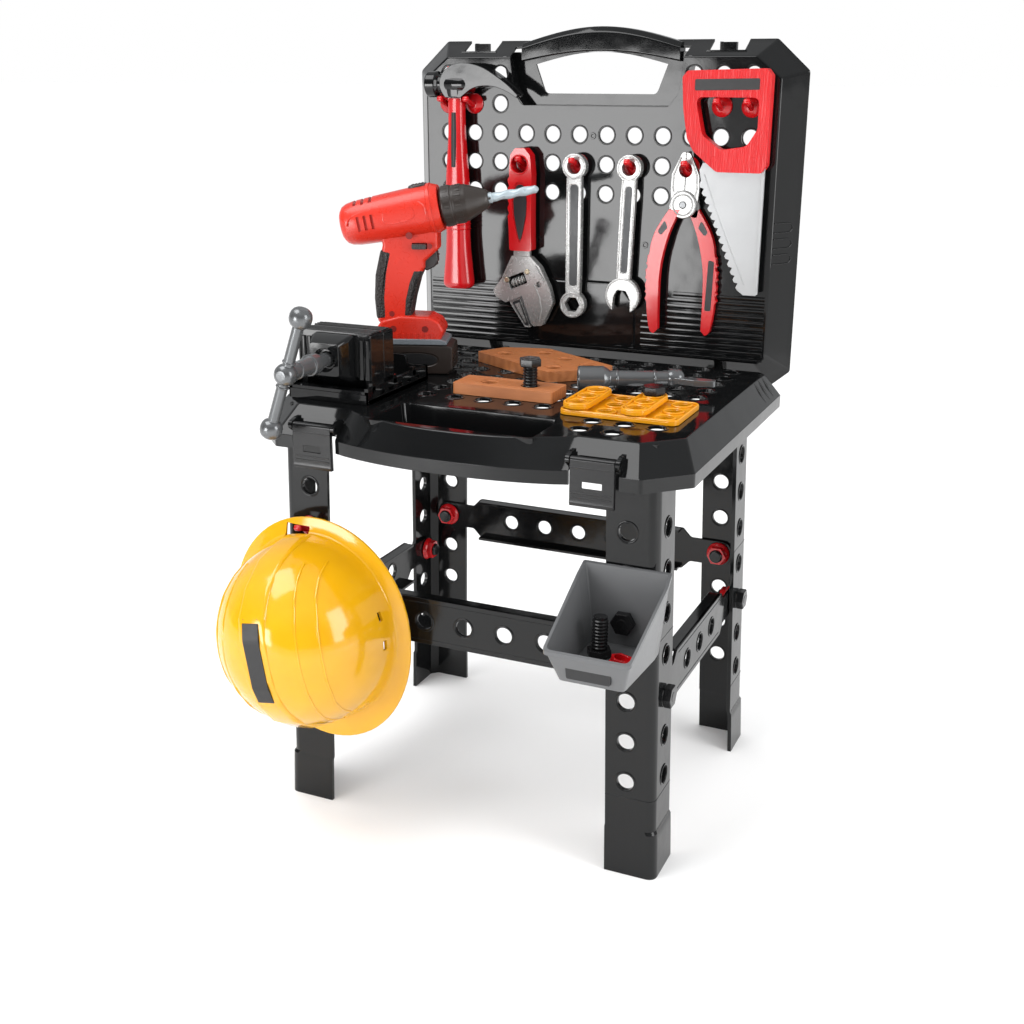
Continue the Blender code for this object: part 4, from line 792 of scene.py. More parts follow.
def angle_section(z, sx, front, grow=0.0):
    x, y = leg_corner(z, front)
    sy = 1 if front else -1
    x += grow
    y -= sy * grow
    t, w = 4.0, 47.0 + grow
    pts = [(x - w, y), (x - 9.5, y)]
    for k in range(5):
        a = math.pi / 2 * k / 4
        pts.append((x - 8 + 8 * math.sin(a) * 1.0, y + sy * (8 - 8 * math.cos(a))))
    pts += [(x, y + sy * 9.5), (x, y + sy * w), (x - t, y + sy * w), (x - t, y + sy * 11), (x - 11, y + sy * t), (x - w, y + sy * t)]
    return [(sx * px, py, z) for px, py in pts]


def leg(name, sx, front):
    sy = 1 if front else -1
    rings = [angle_section(0, sx, front, 2.2), angle_section(38, sx, front, 1.7), angle_section(45, sx, front, 1.5), angle_section(47.5, sx, front, 0.0),
             angle_section(LEG_TOP, sx, front)]
    cuts, beads = [], []
    for k in range(7):
        z = HOLE0_Z - LEG_PITCH * k
        x, y = leg_corner(z, front)
        cuts.append(hole(sx * (x - 27.5), y, z, "y", 16))
        cuts.append(hole(sx * x, y + sy * 27.5, z, "x", 16))
        beads.append(bead(sx * (x - 27.5), y - sy * 0.1, z, "y", 9.6, 0.9, 0.7))
        beads.append(bead(sx * (x + 0.1), y + sy * 27.5, z, "x", 9.6, 0.9, 0.7))
        beads.append(bead(sx * (x - 27.5), y + sy * 4.0, z, "y", 9.3, 0.8, 0.7))
    seams = []
    for z in (78.0, 232.0):
        # a fine raised line where the mould halves meet
        r = [(px + sx * 0.25 * (1 if abs(px) > 170 else 0), py - sy * 0.25, zz) for px, py, zz in angle_section(z, sx, front)]
        r2 = [(px + sx * 0.25 * (1 if abs(px) > 170 else 0), py - sy * 0.25, zz + 1.1) for px, py, zz in angle_section(z, sx, front)]
        seams.append(lambda bm, r=r, r2=r2: loft(bm, [r, r2]))
    piece(f"{name}_moulding", [(lambda bm: loft(bm, rings), [cuts]), *beads, *seams], "leg", "bench", [name], bevel=0.6)


leg("leg_front_left", -1, True)
leg("leg_front_right", 1, True)
leg("leg_back_left", -1, False)
leg("leg_back_right", 1, False)


# ---- braces ----------------------------------------------------------------------------
BH, BD, TH = 46.0, 13.0, 27.0


def channel(name, mid, half, end, z, along, face, inward, tabs):
    other = {"x": "y", "y": "x"}[along]
    web = sorted((face, face + inward * 3.0))
    back = sorted((face + inward * 1.0, face + inward * BD))
    h, t = BH / 2, TH / 2
    outline = rounded_poly([(-end, z - t), (-half - 9, z - t), (-half, z - h), (half, z - h), (half + 9, z - t), (end, z - t),
                            (end, z + t), (half + 9, z + t), (half, z + h), (-half, z + h), (-half - 9, z + t), (-end, z + t)],
                           [11, 5, 4, 4, 5, 11, 11, 5, 4, 4, 5, 11])
    outline = [(p + mid, q) for p, q in outline]
    holes_at = ([-82.0, -41.0, 0.0, 41.0, 82.0] if half > 100 else [-41.0, 0.0, 41.0])

    def at(u, length=16, radius=8.0):
        return hole(u + mid, face, z, "y", length, radius) if along == "x" else hole(face, u + mid, z, "x", length, radius)

    def rim(u, off):
        return bead(u + mid, face + off, z, "y", 9.6, 0.9, 0.7) if along == "x" else bead(face + off, u + mid, z, "x", 9.6, 0.9, 0.7)

    def lip(z0, z1):
        return lambda bm: prism(bm, [(mid - half + 2, z0), (mid + half - 2, z0), (mid + half - 2, z1), (mid - half + 2, z1)], other, *back)

    def frame_line(zc):
        pts = [(-half + 6, zc - .5), (half - 6, zc - .5), (half - 6, zc + .5), (-half + 6, zc + .5)]
        span = sorted((face - inward * 0.35, face + inward * 0.5))
        return lambda bm: prism(bm, [(p + mid, q) for p, q in pts], other, *span)

    piece(f"{name}_moulding", [(lambda bm: prism(bm, outline, other, *web), [[at(u) for u in holes_at] + [at(u) for u in tabs]]),
                               lip(z + h - 2.8, z + h), lip(z - h, z - h + 2.8),
                               *[rim(u, -inward * 0.1) for u in holes_at], *[rim(u, inward * 3.1) for u in holes_at],
                               frame_line(z + h - 4.5), frame_line(z - h + 4.5)],
          "leg", "bench", [name], bevel=0.6)


Z3, Z4 = HOLE0_Z - 3 * LEG_PITCH, HOLE0_Z - 4 * LEG_PITCH
xf3, yf3 = leg_corner(Z3, True)
_, yb3 = leg_corner(Z3, False)
x4, yf4 = leg_corner(Z4, True)
_, yb4 = leg_corner(Z4, False)
HX3 = xf3 - 27.5
HY4F, HY4B = yf4 + 27.5, yb4 - 27.5
MIDY, REACHY = (HY4F + HY4B) / 2, (HY4B - HY4F) / 2
channel("brace_front", 0, 121, HX3 + 13.5, Z3, "x", yf3 + 4.6, 1, (-HX3, HX3))
channel("brace_back", 0, 121, HX3 + 13.5, Z3, "x", yb3 - 4.8, -1, (-HX3, HX3))
channel("brace_left", MIDY, 76, REACHY + 13.5, Z4, "y", -(x4 - 5.0), 1, (-REACHY, REACHY))
channel("brace_right", MIDY, 76, REACHY + 13.5, Z4, "y", x4 - 5.0, -1, (-REACHY, REACHY))


# ---- bolts and nuts --------------------------------------------------------------------
def hexagon(start, d, across, height, chamfer=1.0, phase=0.0):
    r = across / math.sqrt(3)
    def make(bm):
        turned(bm, start, d, [(0, r * 0.93), (chamfer, r), (height - 0.4, r), (height, r * 0.98)], 6, phase)
    return make


def thread(start, d, length, radius, pitch=3.0):
    prof = [(0, radius - 1.0)]
    t = 0.3
    while t + pitch < length:
        prof += [(t, radius - 1.0), (t + pitch * .35, radius), (t + pitch * .6, radius), (t + pitch * .95, radius - 1.0)]
        t += pitch
    prof += [(length - .6, radius - .6), (length, radius - 1.6)]
    return lambda bm: turned(bm, start, d, prof, 28)


def bolt(name, at, direction, grip, tail, nut, body):
    d, p = Vector(direction), Vector(at)
    parts = [hexagon(p - d * 7.5, d, 19, 7.2), (lambda bm: turned(bm, p - d * 7.8, d, [(0, 4.4), (.35, 4.9), (.5, 4.4)], 24)),
             thread(p - d * 0.5, d, 0.5 + grip + tail + 4, 6.9)]
    if nut:
        q = p + d * (grip + 0.3)
        parts += [((lambda bm: turned(bm, q, d, [(0, 12.0), (.5, 12.5), (1.4, 12.3), (3.2, 11.0), (4.2, 9.6)], 40)), (), "red"),
                  (hexagon(q + d * 1.0, d, 18, 8.5, 1.2), [[(lambda bm: turned(bm, q + d * -2, d, [(0, 7.1), (16, 7.1)], 28))]], "red")]
    piece(f"{name}_moulding", parts, "satin_black", body, [name], bevel=0.35, angle=38)


for tag, sx in (("left", -1), ("right", 1)):
    bolt(f"bolt_front_{tag}", (sx * HX3, yf3 - 0.2, Z3), (0, 1, 0), 8.0, 9, True, "bench")
    bolt(f"bolt_back_{tag}", (sx * HX3, yb3 + 0.2, Z3), (0, -1, 0), 8.2, 9, True, "bench")
    bolt(f"bolt_side_front_{tag}", (sx * (x4 + 0.3), HY4F, Z4), (-sx, 0, 0), 8.5, 9, True, "bench")
    bolt(f"bolt_side_back_{tag}", (sx * (x4 + 0.3), HY4B, Z4), (-sx, 0, 0), 8.5, 9, True, "bench")

# ---- parts bin -------------------------------------------------------------------------
BIN_X = leg_corner(HOLE0_Z - 2 * LEG_PITCH, True)[0] - 27.5
BIN_BACK = leg_corner(303, True)[1] - 2.4
bolt("bolt_bin", (BIN_X, BIN_BACK - 4.4, HOLE0_Z - 2 * LEG_PITCH), (0, 1, 0), 10.3, 9, True, "bench")


def bin_ring(zb, zf, hb, hf, back, front, grow=0.0, r=5.0):
    hb, hf, b, f = hb - grow, hf - grow, back - grow, front + grow
    pts = [(BIN_X - hb, b), (BIN_X + hb, b), (BIN_X + hb + 1, b - 14), (BIN_X + hf, f), (BIN_X - hf, f), (BIN_X - hb - 1, b - 14)]
    flat = rounded_poly(pts, [2, 2, 4, r, r, 4], 4)
    out = []
    for x, y in flat:
        if y > b - 14:
            t = (b - y) / 14
            z = zb + (zb - 8 - zb) * t if zb != zf else zb
        else:
            t = (b - 14 - y) / max(1e-6, (b - 14 - f))
            z = (zb - 8) + (zf - zb + 8) * t if zb != zf else zb
        out.append((x, y, z))
    return out


piece("parts_bin_moulding", [
    (lambda bm: loft(bm, [bin_ring(228, 228, 31, 29, BIN_BACK - 1, -404), bin_ring(303, 258, 39.3, 37.3, BIN_BACK, -416.3)]),
     [[lambda bm: loft(bm, [bin_ring(230.5, 230.5, 31, 29, BIN_BACK - 1, -404, 2.4), bin_ring(304.5, 259.5, 40, 38, BIN_BACK, -417, 2.2)])],
      [hole(BIN_X, BIN_BACK, HOLE0_Z - 2 * LEG_PITCH, "y", 12, 7.6)]]),
    (lambda bm: loft(bm, [bin_ring(299.5, 254.5, 40, 38, BIN_BACK, -417), bin_ring(303, 258, 40, 38, BIN_BACK, -417)]),
     [[lambda bm: loft(bm, [bin_ring(290, 245, 39, 37, BIN_BACK, -416, 2.2), bin_ring(306, 261, 40, 38, BIN_BACK, -417, 2.2)])]]),
    (lambda bm: prism(bm, rounded_poly([(BIN_X - 19, 234), (BIN_X + 19, 234), (BIN_X + 20, 245), (BIN_X - 20, 245)], 1.5), "y", -410.2, -404), (), "label"),
], "bin", "bench", ["parts_bin"], bevel=0.5)
# a spare bolt and a spare nut that lie in the bin
piece("bin_spare_bolt", [hexagon((BIN_X - 12, -352, 230.8), (0, 0, 1), 19, 7.0), thread((BIN_X - 12, -352, 237.5), (0, .05, 1), 30, 6.9)],
      "satin_black", "bench", bevel=0.35, angle=38)
piece("bin_spare_nut", [lambda bm: turned(bm, (BIN_X + 14, -370, 232.5), (0.2, 0.12, 1), [(0, 12.0), (.5, 12.5), (1.4, 12.3), (3.2, 11.0)], 40),
                        (hexagon((BIN_X + 14, -370, 233.0), (0.2, 0.12, 1), 18, 8.5, 1.2),
                         [[lambda bm: turned(bm, (BIN_X + 14, -370, 236), (0.2, 0.12, 1), [(0, 7.1), (16, 7.1)], 28)]])],
      "red", "bench", bevel=0.35, angle=38)


# ---- hammer ----------------------------------------------------------------------------
HX, HY, HZ = -149.0, -14.6, 690.0


def hammer_claw(bm):
    top = smooth_curve([(-164.5, 0, 694), (-160, 0, 702.5), (-151, 0, 709.0), (-140, 0, 711.4), (-126, 0, 710.2), (-112, 0, 705.8), (-99, 0, 698.6), (-86, 0, 690), (-74.5, 0, 680.0)], 6)
    low = smooth_curve([(-76, 0, 677), (-88, 0, 683.6), (-102, 0, 688.0), (-116, 0, 688.4), (-127, 0, 685.6), (-135, 0, 680.4), (-140, 0, 676.8)], 5) + \
        smooth_curve([(-158, 0, 676.8), (-161.5, 0, 681.5), (-164.5, 0, 687)], 4)
    prism(bm, [(p[0], p[2]) for p in top] + [(p[0], p[2]) for p in low], "y", HY - 9.8, HY + 9.8)


piece("hammer_head_moulding", [
    lambda bm: turned(bm, (-182, HY, HZ), (1, 0, 0), [(0, 11.2), (0.5, 12.4), (1.6, 13.3), (11.5, 13.3), (12.6, 12.4), (14.5, 9.7), (19, 9.0), (22, 9.4),
                                                       (25, 11.0), (33, 11.8), (44, 11.5), (50, 9.0)], 48),
    (hammer_claw, [[lambda bm: loft(bm, [[(-103, HY - .6, z), (-66, HY - 3.6, z), (-66, HY + 3.6, z), (-103, HY + .6, z)] for z in (668, 712)])]]),
    lambda bm: loft(bm, [super_ring((HX, HY, z), (1, 0, 0), (0, 1, 0), a, b, 4.0, 32) for z, a, b in
                         ((676.6, 9.0, 9.2), (677.4, 9.8, 10.0), (688, 10.6, 10.6), (700, 9.0, 9.4))]),
], "vice", "hammer", ["hammer_head"], bevel=0.8, segments=3)


def hammer_grip(bm):
    lv = [(477, 13.6, 10), (478.2, 15.4, 11.6), (480.5, 17, 12.6), (484, 17.2, 12.7), (500, 15.5, 12), (518, 13.6, 11.3), (535, 12.8, 10.9), (552, 13.0, 11.2),
          (568, 13.6, 11.5), (585, 12.9, 11.0), (600, 12, 10.5), (622, 10.3, 9.4), (640, 9.1, 8.6), (660, 8.8, 8.2), (676.2, 9.0, 8.0)]
    loft(bm, [super_ring((HX, HY, z), (1, 0, 0), (0, 1, 0), a, b, 2.5, 40) for z, a, b in lv])


piece("hammer_handle_moulding", [
    hammer_grip, lambda bm: box(bm, (HX - 7.8, HY - 5.8, 673), (HX + 7.8, HY + 5.8, 708)),
    *[lambda bm, z=z: loft(bm, [super_ring((HX, HY, z + dz), (1, 0, 0), (0, 1, 0), a, b, 2.5, 40) for dz, a, b in ((-1, 12.6, 10.8), (0, 13.9, 11.8), (1, 12.6, 10.8))])
      for z in (541, 546, 551)],
    (lambda bm: loft(bm, [super_ring((HX, HY - 0.3, z), (1, 0, 0), (0, 1, 0), a, b, 2.5, 40) for z, a, b in ((606, 5.6, 10.4), (662, 4.6, 8.6))]), (), "label"),
], "red", "hammer", ["hammer_handle"], bevel=0.4)

# ---- adjustable spanner ----------------------------------------------------------------
SX = -75.0
handle_outline = [(SX - 11.5, 521), (SX + 14, 521), (SX + 13.5, 545), (SX + 13.5, 575), (SX + 14, 600), (SX + 12, 620), (SX + 6, 627), (SX - 5, 627), (SX - 10.5, 620),
                  (SX - 12, 604)]
for k in range(5):
    z = 598 - 9.5 * k
    handle_outline += [(SX - 11.6, z), (SX - 13.6, z - 3.2), (SX - 13.0, z - 6.2)]
handle_outline += [(SX - 12.4, 545)]
tear = [(SX + 0.5, 531)] + [(SX + 0.5 + 7.6 * math.sin(a) * (1 - 0.25 * max(0, -math.cos(a))), 585 - 17.5 * math.cos(a) + 0.0) for a in
                           [math.radians(t) for t in range(60, 301, 16)]]
tear = [(SX + 0.5, 529), (SX + 4.2, 543), (SX + 7.2, 558), (SX + 8.0, 572), (SX + 6.8, 584), (SX + 3.4, 590), (SX - 2.4, 590), (SX - 5.8, 584), (SX - 7.0, 572), (SX - 6.2, 558), (SX - 3.2, 543)]
tear = rounded_poly(tear, 4, 3)
tear_big = [(SX + .5 + (x - SX - .5) * 1.22, 561 + (z - 561) * 1.09) for x, z in tear]
piece("spanner_handle_moulding", [
    (lambda bm: prism(bm, rounded_poly(handle_outline, 2.6, 3), "y", -18.4, -5.2),
     [[lambda bm: turned(bm, (SX, -25, EYE_Z + 0.6), (0, 1, 0), [(0, EYE_R + 1.2), (30, EYE_R + 1.2)], 40)],
      [lambda bm: prism(bm, tear_big, "y", -22, -17.2)]]),
    # the tear recess's floor is painted shade, near-black
    (lambda bm: prism(bm, tear, "y", -18.0, -16.5), (), "silver_dark"),
    lambda bm: ring(bm, (SX, -18.4, EYE_Z + 0.6), (0, 1, 0), EYE_R + 2.0, 0.9, 40, 8),
], "red", "adjustable_spanner", ["spanner_handle"], bevel=1.3, segments=3)

JD, JU = Vector((-0.93, 0, -0.3675)), Vector((-0.3675, 0, 0.93))
JO = Vector((-74.0, 0, 478.0))


def jf(pts):
    return [((JO + JD * a + JU * b).x, (JO + JD * a + JU * b).z) for a, b in pts]


def jf3(pts, y):
    return [((JO + JD * a + JU * b).x, y, (JO + JD * a + JU * b).z) for a, b in pts]


head_outline = [(SX - 10, 515), (SX - 22, 490), (-107, 477), (-103.5, 470.0)] + jf([(22.0, -6.0), (2.6, -6.0), (2.6, -34), (0, -40), (-10, -43), (-20, -34)]) \
    + [(-36.5, 467), (-41, 484), (-52, 505), (SX + 12, 515)]
head_r = rounded_poly(head_outline, [2, 8, 4, 1.5, 1.5, 0.6, 1.5, 3, 4, 5, 7, 7, 8, 1], 4)


def inset_poly(pts, d):
    """A crude inset towards the centroid, for raised rims and recesses."""
    cx, cy = sum(p[0] for p in pts) / len(pts), sum(p[1] for p in pts) / len(pts)
    out = []
    n = len(pts)
    for i, p in enumerate(pts):
        a, b = Vector(pts[i - 1]), Vector(pts[(i + 1) % n])
        t = (b - a).normalized()
        nrm = Vector((-t.y, t.x))
        if nrm.dot(Vector((cx - p[0], cy - p[1]))) < 0:
            nrm = -nrm
        out.append((p[0] + nrm.x * d, p[1] + nrm.y * d))
    return out


piece("spanner_head_moulding", [
    (lambda bm: prism(bm, head_r, "y", -16.2, -7.0),
     [[lambda bm: prism(bm, jf([(-13.0, 6.0), (30, 6.0), (30, -8), (-13.0, -8)]), "y", -14.6, -8.6)],
      [lambda bm: prism(bm, rounded_poly(jf([(-10.5, 18.2), (10.5, 18.2), (10.5, 4.2), (-10.5, 4.2)]), 1.2), "y", -20, -3)],
      [lambda bm: turned(bm, (-53, -20, 486), (0, 1, 0), [(0, 3.0), (8, 3.0)], 24)]]),
    lambda bm: tube_path(bm, [(x, -16.2, z) for x, z in jf([(-17.5, 2), (-18.5, -12), (-16, -26), (-9, -38)])], 0.9, 10),
    # a near-black line along the gap between head and jaw: painted shade
    (lambda bm: tube_path(bm, jf3([(1.6, -5.0), (1.6, -20), (1.9, -36)], -16.1), 0.7, 8), (), "silver_dark"),
    lambda bm: tube_path(bm, [(SX - 20, -16.2, 491), (SX - 9, -16.2, 512)], 1.1, 10),
    lambda bm: tube_path(bm, [(-46.5, -16.2, 490), (-57, -16.2, 506)], 1.1, 10),
    (lambda bm: turned(bm, (-90.5, -17.3, 489), (0, 1, 0), [(0, 2.4), (.4, 3.0), (1.4, 3.0)], 24), (), "brass"),
    (lambda bm: turned(bm, (-66.5, -17.3, 499), (0, 1, 0), [(0, 2.4), (.4, 3.0), (1.4, 3.0)], 24), (), "brass"),
    lambda bm: box(bm, (SX - 8.4, -14.3, 510), (SX + 10.4, -8.9, 555)),
], "silver", "adjustable_spanner", ["spanner_head"], bevel=0.9, segments=3)
piece("spanner_jaw_moulding", [
    lambda bm: prism(bm, rounded_poly(jf([(-10.0, 5.6), (14, 5.6), (18.0, -6.4), (10.0, -38.0), (4.0, -41.0), (4.0, -6.4), (-10.0, -6.4)]), [.6, 2, 4, 4, 1.5, .6, .6], 4), "y", -14.2, -9.0),
    # the jaw's recessed panel is painted shade, near-black
    (lambda bm: prism(bm, rounded_poly(jf([(5.0, -8.2), (15.2, -8.2), (9.0, -36.8), (5.0, -38.2)]), 1.5, 3), "y", -14.5, -13.0), (), "silver_dark"),
    lambda bm: tube_path(bm, jf3([(4.4, -7.4), (15.6, -7.4), (16.8, -9), (9.8, -37.4), (4.4, -39.4), (4.4, -7.4)], -14.5), 0.8, 8),
    lambda bm: prism(bm, rounded_poly(jf([(6.6, -11), (12.6, -11), (8.2, -33.4), (6.6, -34.0)]), 1.0, 3), "y", -15.4, -13.4),
    *[(lambda bm, t=t: prism(bm, jf([(4.0, -12 - 5 * t), (3.4, -13.2 - 5 * t), (4.0, -14.4 - 5 * t), (5.2, -13.2 - 5 * t)]), "y", -14.2, -9.0)) for t in range(5)],
], "silver", "spanner_jaw", ["spanner_jaw"], bevel=0.7, segments=3)
WO = JO + JU * 11.0 + Vector((0, -11.6, 0))
worm = [(0, 3.0), (.8, 3.6)]
for k in range(4):
    worm += [(1.0 + 4 * k, 3.7), (1.6 + 4 * k, 5.0), (3.6 + 4 * k, 5.0), (4.2 + 4 * k, 3.7)]
worm += [(16.8, 3.0)]


def worm_gear(bm):
    """The worm's plain core; the helical rib is a separate part."""
    turned(bm, tuple(WO - JD * 8.4), tuple(JD), [(0, 3.4), (16.8, 3.4)], 32)


def worm_rib(bm):
    d, s, u = basis(JD)
    pts = []
    for i in range(4 * 24 + 1):
        a = 2 * math.pi * i / 24
        pts.append(WO - JD * 7.4 + JD * (14.8 * i / 96) + s * (4.1 * math.cos(a)) + u * (4.1 * math.sin(a)))
    tube_path(bm, pts, 0.9, 8)


piece("spanner_worm_moulding", [worm_gear, worm_rib], "silver", "spanner_worm", ["spanner_worm"], bevel=0.2)

# ---- ring spanner and combination spanner ---------------------------------------------
F0, F1 = -14.6, -5.6


def disc(x, z, r, y0, y1, n=48):
    return lambda bm: prism(bm, arc(x, z, r, 0, 360, n)[:-1], "y", y0, y1)


def cutc(x, z, r, n=40, y0=-25, y1=5):
    return lambda bm: turned(bm, (x, y0, z), (0, 1, 0), [(0, r), (y1 - y0, r)], n)


hexcut = [(-15 + 8.6 * math.cos(math.radians(60 * k)), 467 + 8.6 * math.sin(math.radians(60 * k))) for k in range(6)]
piece("ring_spanner_moulding", [
    (disc(-15, EYE_Z, 13, F0, F1), [[cutc(-15, EYE_Z, EYE_R)]]),
    (disc(-15, 467, 14, F0, F1), [[lambda bm: prism(bm, hexcut, "y", -30, 10)]]),
    (lambda bm: prism(bm, [(-23, 478), (-7, 478), (-6.5, 500), (-6.5, 575), (-7, 600), (-23, 600), (-23.5, 575), (-23.5, 500)], "y", F0 + 1.5, F1 - 1),
     [[lambda bm: prism(bm, rounded_poly([(-19.8, 486), (-10.2, 486), (-9.8, 592), (-20.2, 592)], 4), "y", -20, F0 + 2.6)]]),
    # the handle channel's floor is painted shade, near-black
    (lambda bm: prism(bm, rounded_poly([(-19.4, 486.5), (-10.6, 486.5), (-10.2, 591.5), (-19.8, 591.5)], 4), "y", F0 + 2.5, F0 + 3.2), (), "silver_dark"),
    lambda bm: ring(bm, (-15, F0 - 0.0, EYE_Z), (0, 1, 0), 11.4, 0.9, 48, 8), lambda bm: ring(bm, (-15, F0 - 0.0, 467), (0, 1, 0), 12.4, 0.9, 48, 8),
    lambda bm: tube_path(bm, [(-22.3, F0 + 1.5, 482), (-22.6, F0 + 1.5, 598)], 1.0, 10), lambda bm: tube_path(bm, [(-7.7, F0 + 1.5, 482), (-7.4, F0 + 1.5, 598)], 1.0, 10),
], "silver", "ring_spanner", ["ring_spanner"], bevel=0.6, segments=2)
jaw_cut = rounded_poly([(29, 450), (50, 450), (49.5, 476), (45, 485), (35, 486), (31, 478)], [0, 0, 3, 3, 3, 3])
piece("combination_spanner_moulding", [
    (disc(45, EYE_Z, 13, F0, F1), [[cutc(45, EYE_Z, EYE_R)]]),
    (disc(41, 480, 19, F0 + 1, F1 - 1), [[lambda bm: prism(bm, jaw_cut, "y", -30, 10)]]),
    (lambda bm: prism(bm, [(33.5, 492), (49, 492), (52, 575), (52.5, 600), (37.5, 600), (36, 575)], "y", F0 + 1.5, F1 - 1.5),
     [[lambda bm: prism(bm, rounded_poly([(37.4, 503), (45.6, 503), (49.0, 592), (40.6, 592)], 3.5), "y", -20, F0 + 2.6)]]),
    # the handle channel's floor is painted shade, near-black
    (lambda bm: prism(bm, rounded_poly([(37.8, 503.5), (45.2, 503.5), (48.6, 591.5), (41.0, 591.5)], 3.5), "y", F0 + 2.5, F0 + 3.2), (), "silver_dark"),
    lambda bm: ring(bm, (45, F0, EYE_Z), (0, 1, 0), 11.4, 0.9, 48, 8),
    lambda bm: tube_path(bm, [(x, F0 + 1.0, z) for x, z in arc(41, 480, 17.6, -48, 228, 40)], 0.9, 10),
    lambda bm: tube_path(bm, [(35.0, F0 + 1.5, 497), (38.6, F0 + 1.5, 598)], 0.9, 10), lambda bm: tube_path(bm, [(48.0, F0 + 1.5, 497), (51.2, F0 + 1.5, 598)], 0.9, 10),
], "silver", "combination_spanner", ["combination_spanner"], bevel=0.6, segments=2)

# ---- pliers ----------------------------------------------------------------------------
PX, PZ = 104.0, 576.0


def plier(s, y0, y1, name, front, body):
    jaw = rounded_poly([(PX + s * 1.0, 627), (PX + s * 5.0, 626), (PX + s * 15, 605), (PX + s * 15.5, 590), (PX + s * 13, 570),
                        (PX - s * 13, 562), (PX - s * 15, 574), (PX - s * 12.0, 588), (PX + s * 1.0, 589)], [.6, 2, 6, 6, 4, 3, 4, 4, 0.6])
    inner = [(PX - s * 22, 449), (PX - s * 22.5, 485), (PX - s * 21, 515), (PX - s * 14, 545), (PX - s * 3, 571)]
    outer = [(PX - s * 15, 571), (PX - s * 30, 545), (PX - s * 36, 512), (PX - s * 36, 480), (PX - s * 32, 450), (PX - s * 27, 444)]
    o = smooth_curve([(x, 0, z) for x, z in outer], 8)
    bumps = []
    for i, p in enumerate(o):
        w = 0.9 * math.sin(i * 1.9) if 474 < p[2] < 530 else 0
        bumps.append((p[0] - s * w * 0.9 + s * 0.5, p[2]))
    i_ = [(p[0], p[2]) for p in smooth_curve([(x, 0, z) for x, z in inner], 6)]
    outline = bumps + i_
    h0, h1 = (y0 - 3.2, y1) if front else (y0, y1 + 3.2)
    cuts = [[cutc(PX, EYE_Z, EYE_R)]]
    jaw_cuts = list(cuts)
    if not front:
        jaw_cuts.append([cutc(PX, PZ, 5.7)])
    parts = [(lambda bm: prism(bm, jaw, "y", y0, y1), jaw_cuts, "silver"),
             (lambda bm: prism(bm, outline, "y", h0, h1), [[cutc(PX, PZ, 5.7 if not front else 2)]] if not front else ()),
             (lambda bm: tube_path(bm, [(PX + s * 5.5, y0 if front else y0, 622), (PX + s * 12.6, y0, 605), (PX + s * 13.2, y0, 592), (PX + s * 11, y0, 583)], 0.9, 10), (), "silver"),
             # near-black patch just under the pivot cap: painted shadow
             (lambda bm: prism(bm, rounded_poly([(PX - s * 18, 561), (PX - s * 25, 549), (PX - s * 22, 545), (PX - s * 15, 553)], 2), "y", h0 - 0.35, h0 + 1), (), "silver_dark")]
    # teeth of the jaw
    for k in range(4):
        z = 619.5 + 1.9 * k
        parts.append((lambda bm, z=z: box(bm, (min(PX + s * .7, PX + s * 1.6), y0, z), (max(PX + s * .7, PX + s * 1.6), y1, z + 1.0)), (), "silver"))
    for k in range(7):
        z = 480 + 7.2 * k
        xx = PX - s * (36.2 - (0 if z < 512 else (z - 512) * 0.16))
        parts.append(lambda bm, z=z, xx=xx: rod(bm, (xx + s * .9, h0 + .8, z), (xx + s * .9, h1 - .8, z), 1.9, 16))
    if front:
        parts += [(lambda bm: turned(bm, (PX, y0 - 3.0, PZ), (0, 1, 0), [(0, 12.4), (.5, 13.4), (1.6, 13.8), (3.4, 13.8)], 48), (), "silver"),
                  (lambda bm: ring(bm, (PX, y0 - 2.9, PZ), (0, 1, 0), 10.2, 0.9, 48, 8), (), "silver"),
                  (lambda bm: turned(bm, (PX, y0 - 3.9, PZ), (0, 1, 0), [(0, 3.0), (.5, 3.8), (1.4, 3.8)], 32), (), "screw"),
                  (lambda bm: rod(bm, (PX, y0 - 1.2, PZ), (PX, y1 + 4.8, PZ), 5.2), (), "silver"),
                  ]
    else:
        parts += [(lambda bm: prism(bm, rounded_poly([(PX - s * 31.8, 470), (PX - s * 25.2, 470), (PX - s * 27.2, 522), (PX - s * 33.2, 520)], 2), "y", h0 - 0.3, h0 + 1), (), "label")]
    piece(f"{name}_moulding", parts, "red", body, [name], bevel=0.9, segments=3)


plier(1, -14.4, -10.2, "pliers_front_half", True, "pliers")
plier(-1, -9.8, -5.6, "pliers_back_half", False, "pliers_back")

# ---- saw -------------------------------------------------------------------------------
S0, S1 = -19.0, -5.6
TOP_IN = ROW_B + 8.6
grip_out = rounded_poly([(99, 698), (104, 704), (182, 706), (187, 700), (186.5, 616), (182, 609), (137, 609), (113, 628), (106, 640), (101, 668)],
                        [3, 4, 4, 4, 4, 4, 8, 12, 12, 20], 5)
grip_in = rounded_poly([(113, TOP_IN), (176, TOP_IN), (176, 650), (166, 634), (140, 630), (121, 644)], [6, 6, 8, 10, 10, 10], 5)
piece("saw_handle_moulding", [
    (lambda bm: prism(bm, grip_out, "y", S0, S1),
     [[lambda bm: prism(bm, grip_in, "y", S0 - 5, S1 + 5)],
      [lambda bm: prism(bm, [(100, 600), (100, 628), (126, 618.5), (190, 618.5), (190, 600)], "y", -14.2, -10.6)]]),
    (lambda bm: prism(bm, rounded_poly([(112, 685.5), (176, 686.5), (176, 697), (112, 696)], 1.5), "y", S0 - 0.3, S0 + 1), (), "label"),
    *[lambda bm, x=x, z=z: turned(bm, (x, S0 - 0.3, z), (0, 1, 0), [(0, 3.0), (.3, 3.4), (1.4, 3.4)], 28) for x, z in ((134, 621), (174, 621))],
], "saw_red", "saw", ["saw_handle"], bevel=2.2, segments=4)
teeth = []
for i in range(14):
    f0, fm, f1 = i / 14, (i + 0.55) / 14, (i + 0.9) / 14
    for f, dx in ((f0, 0.6), (fm, -3.2), (f1, -2.6)):
        teeth.append((120 + 46 * f + dx, 600 - 107 * f))
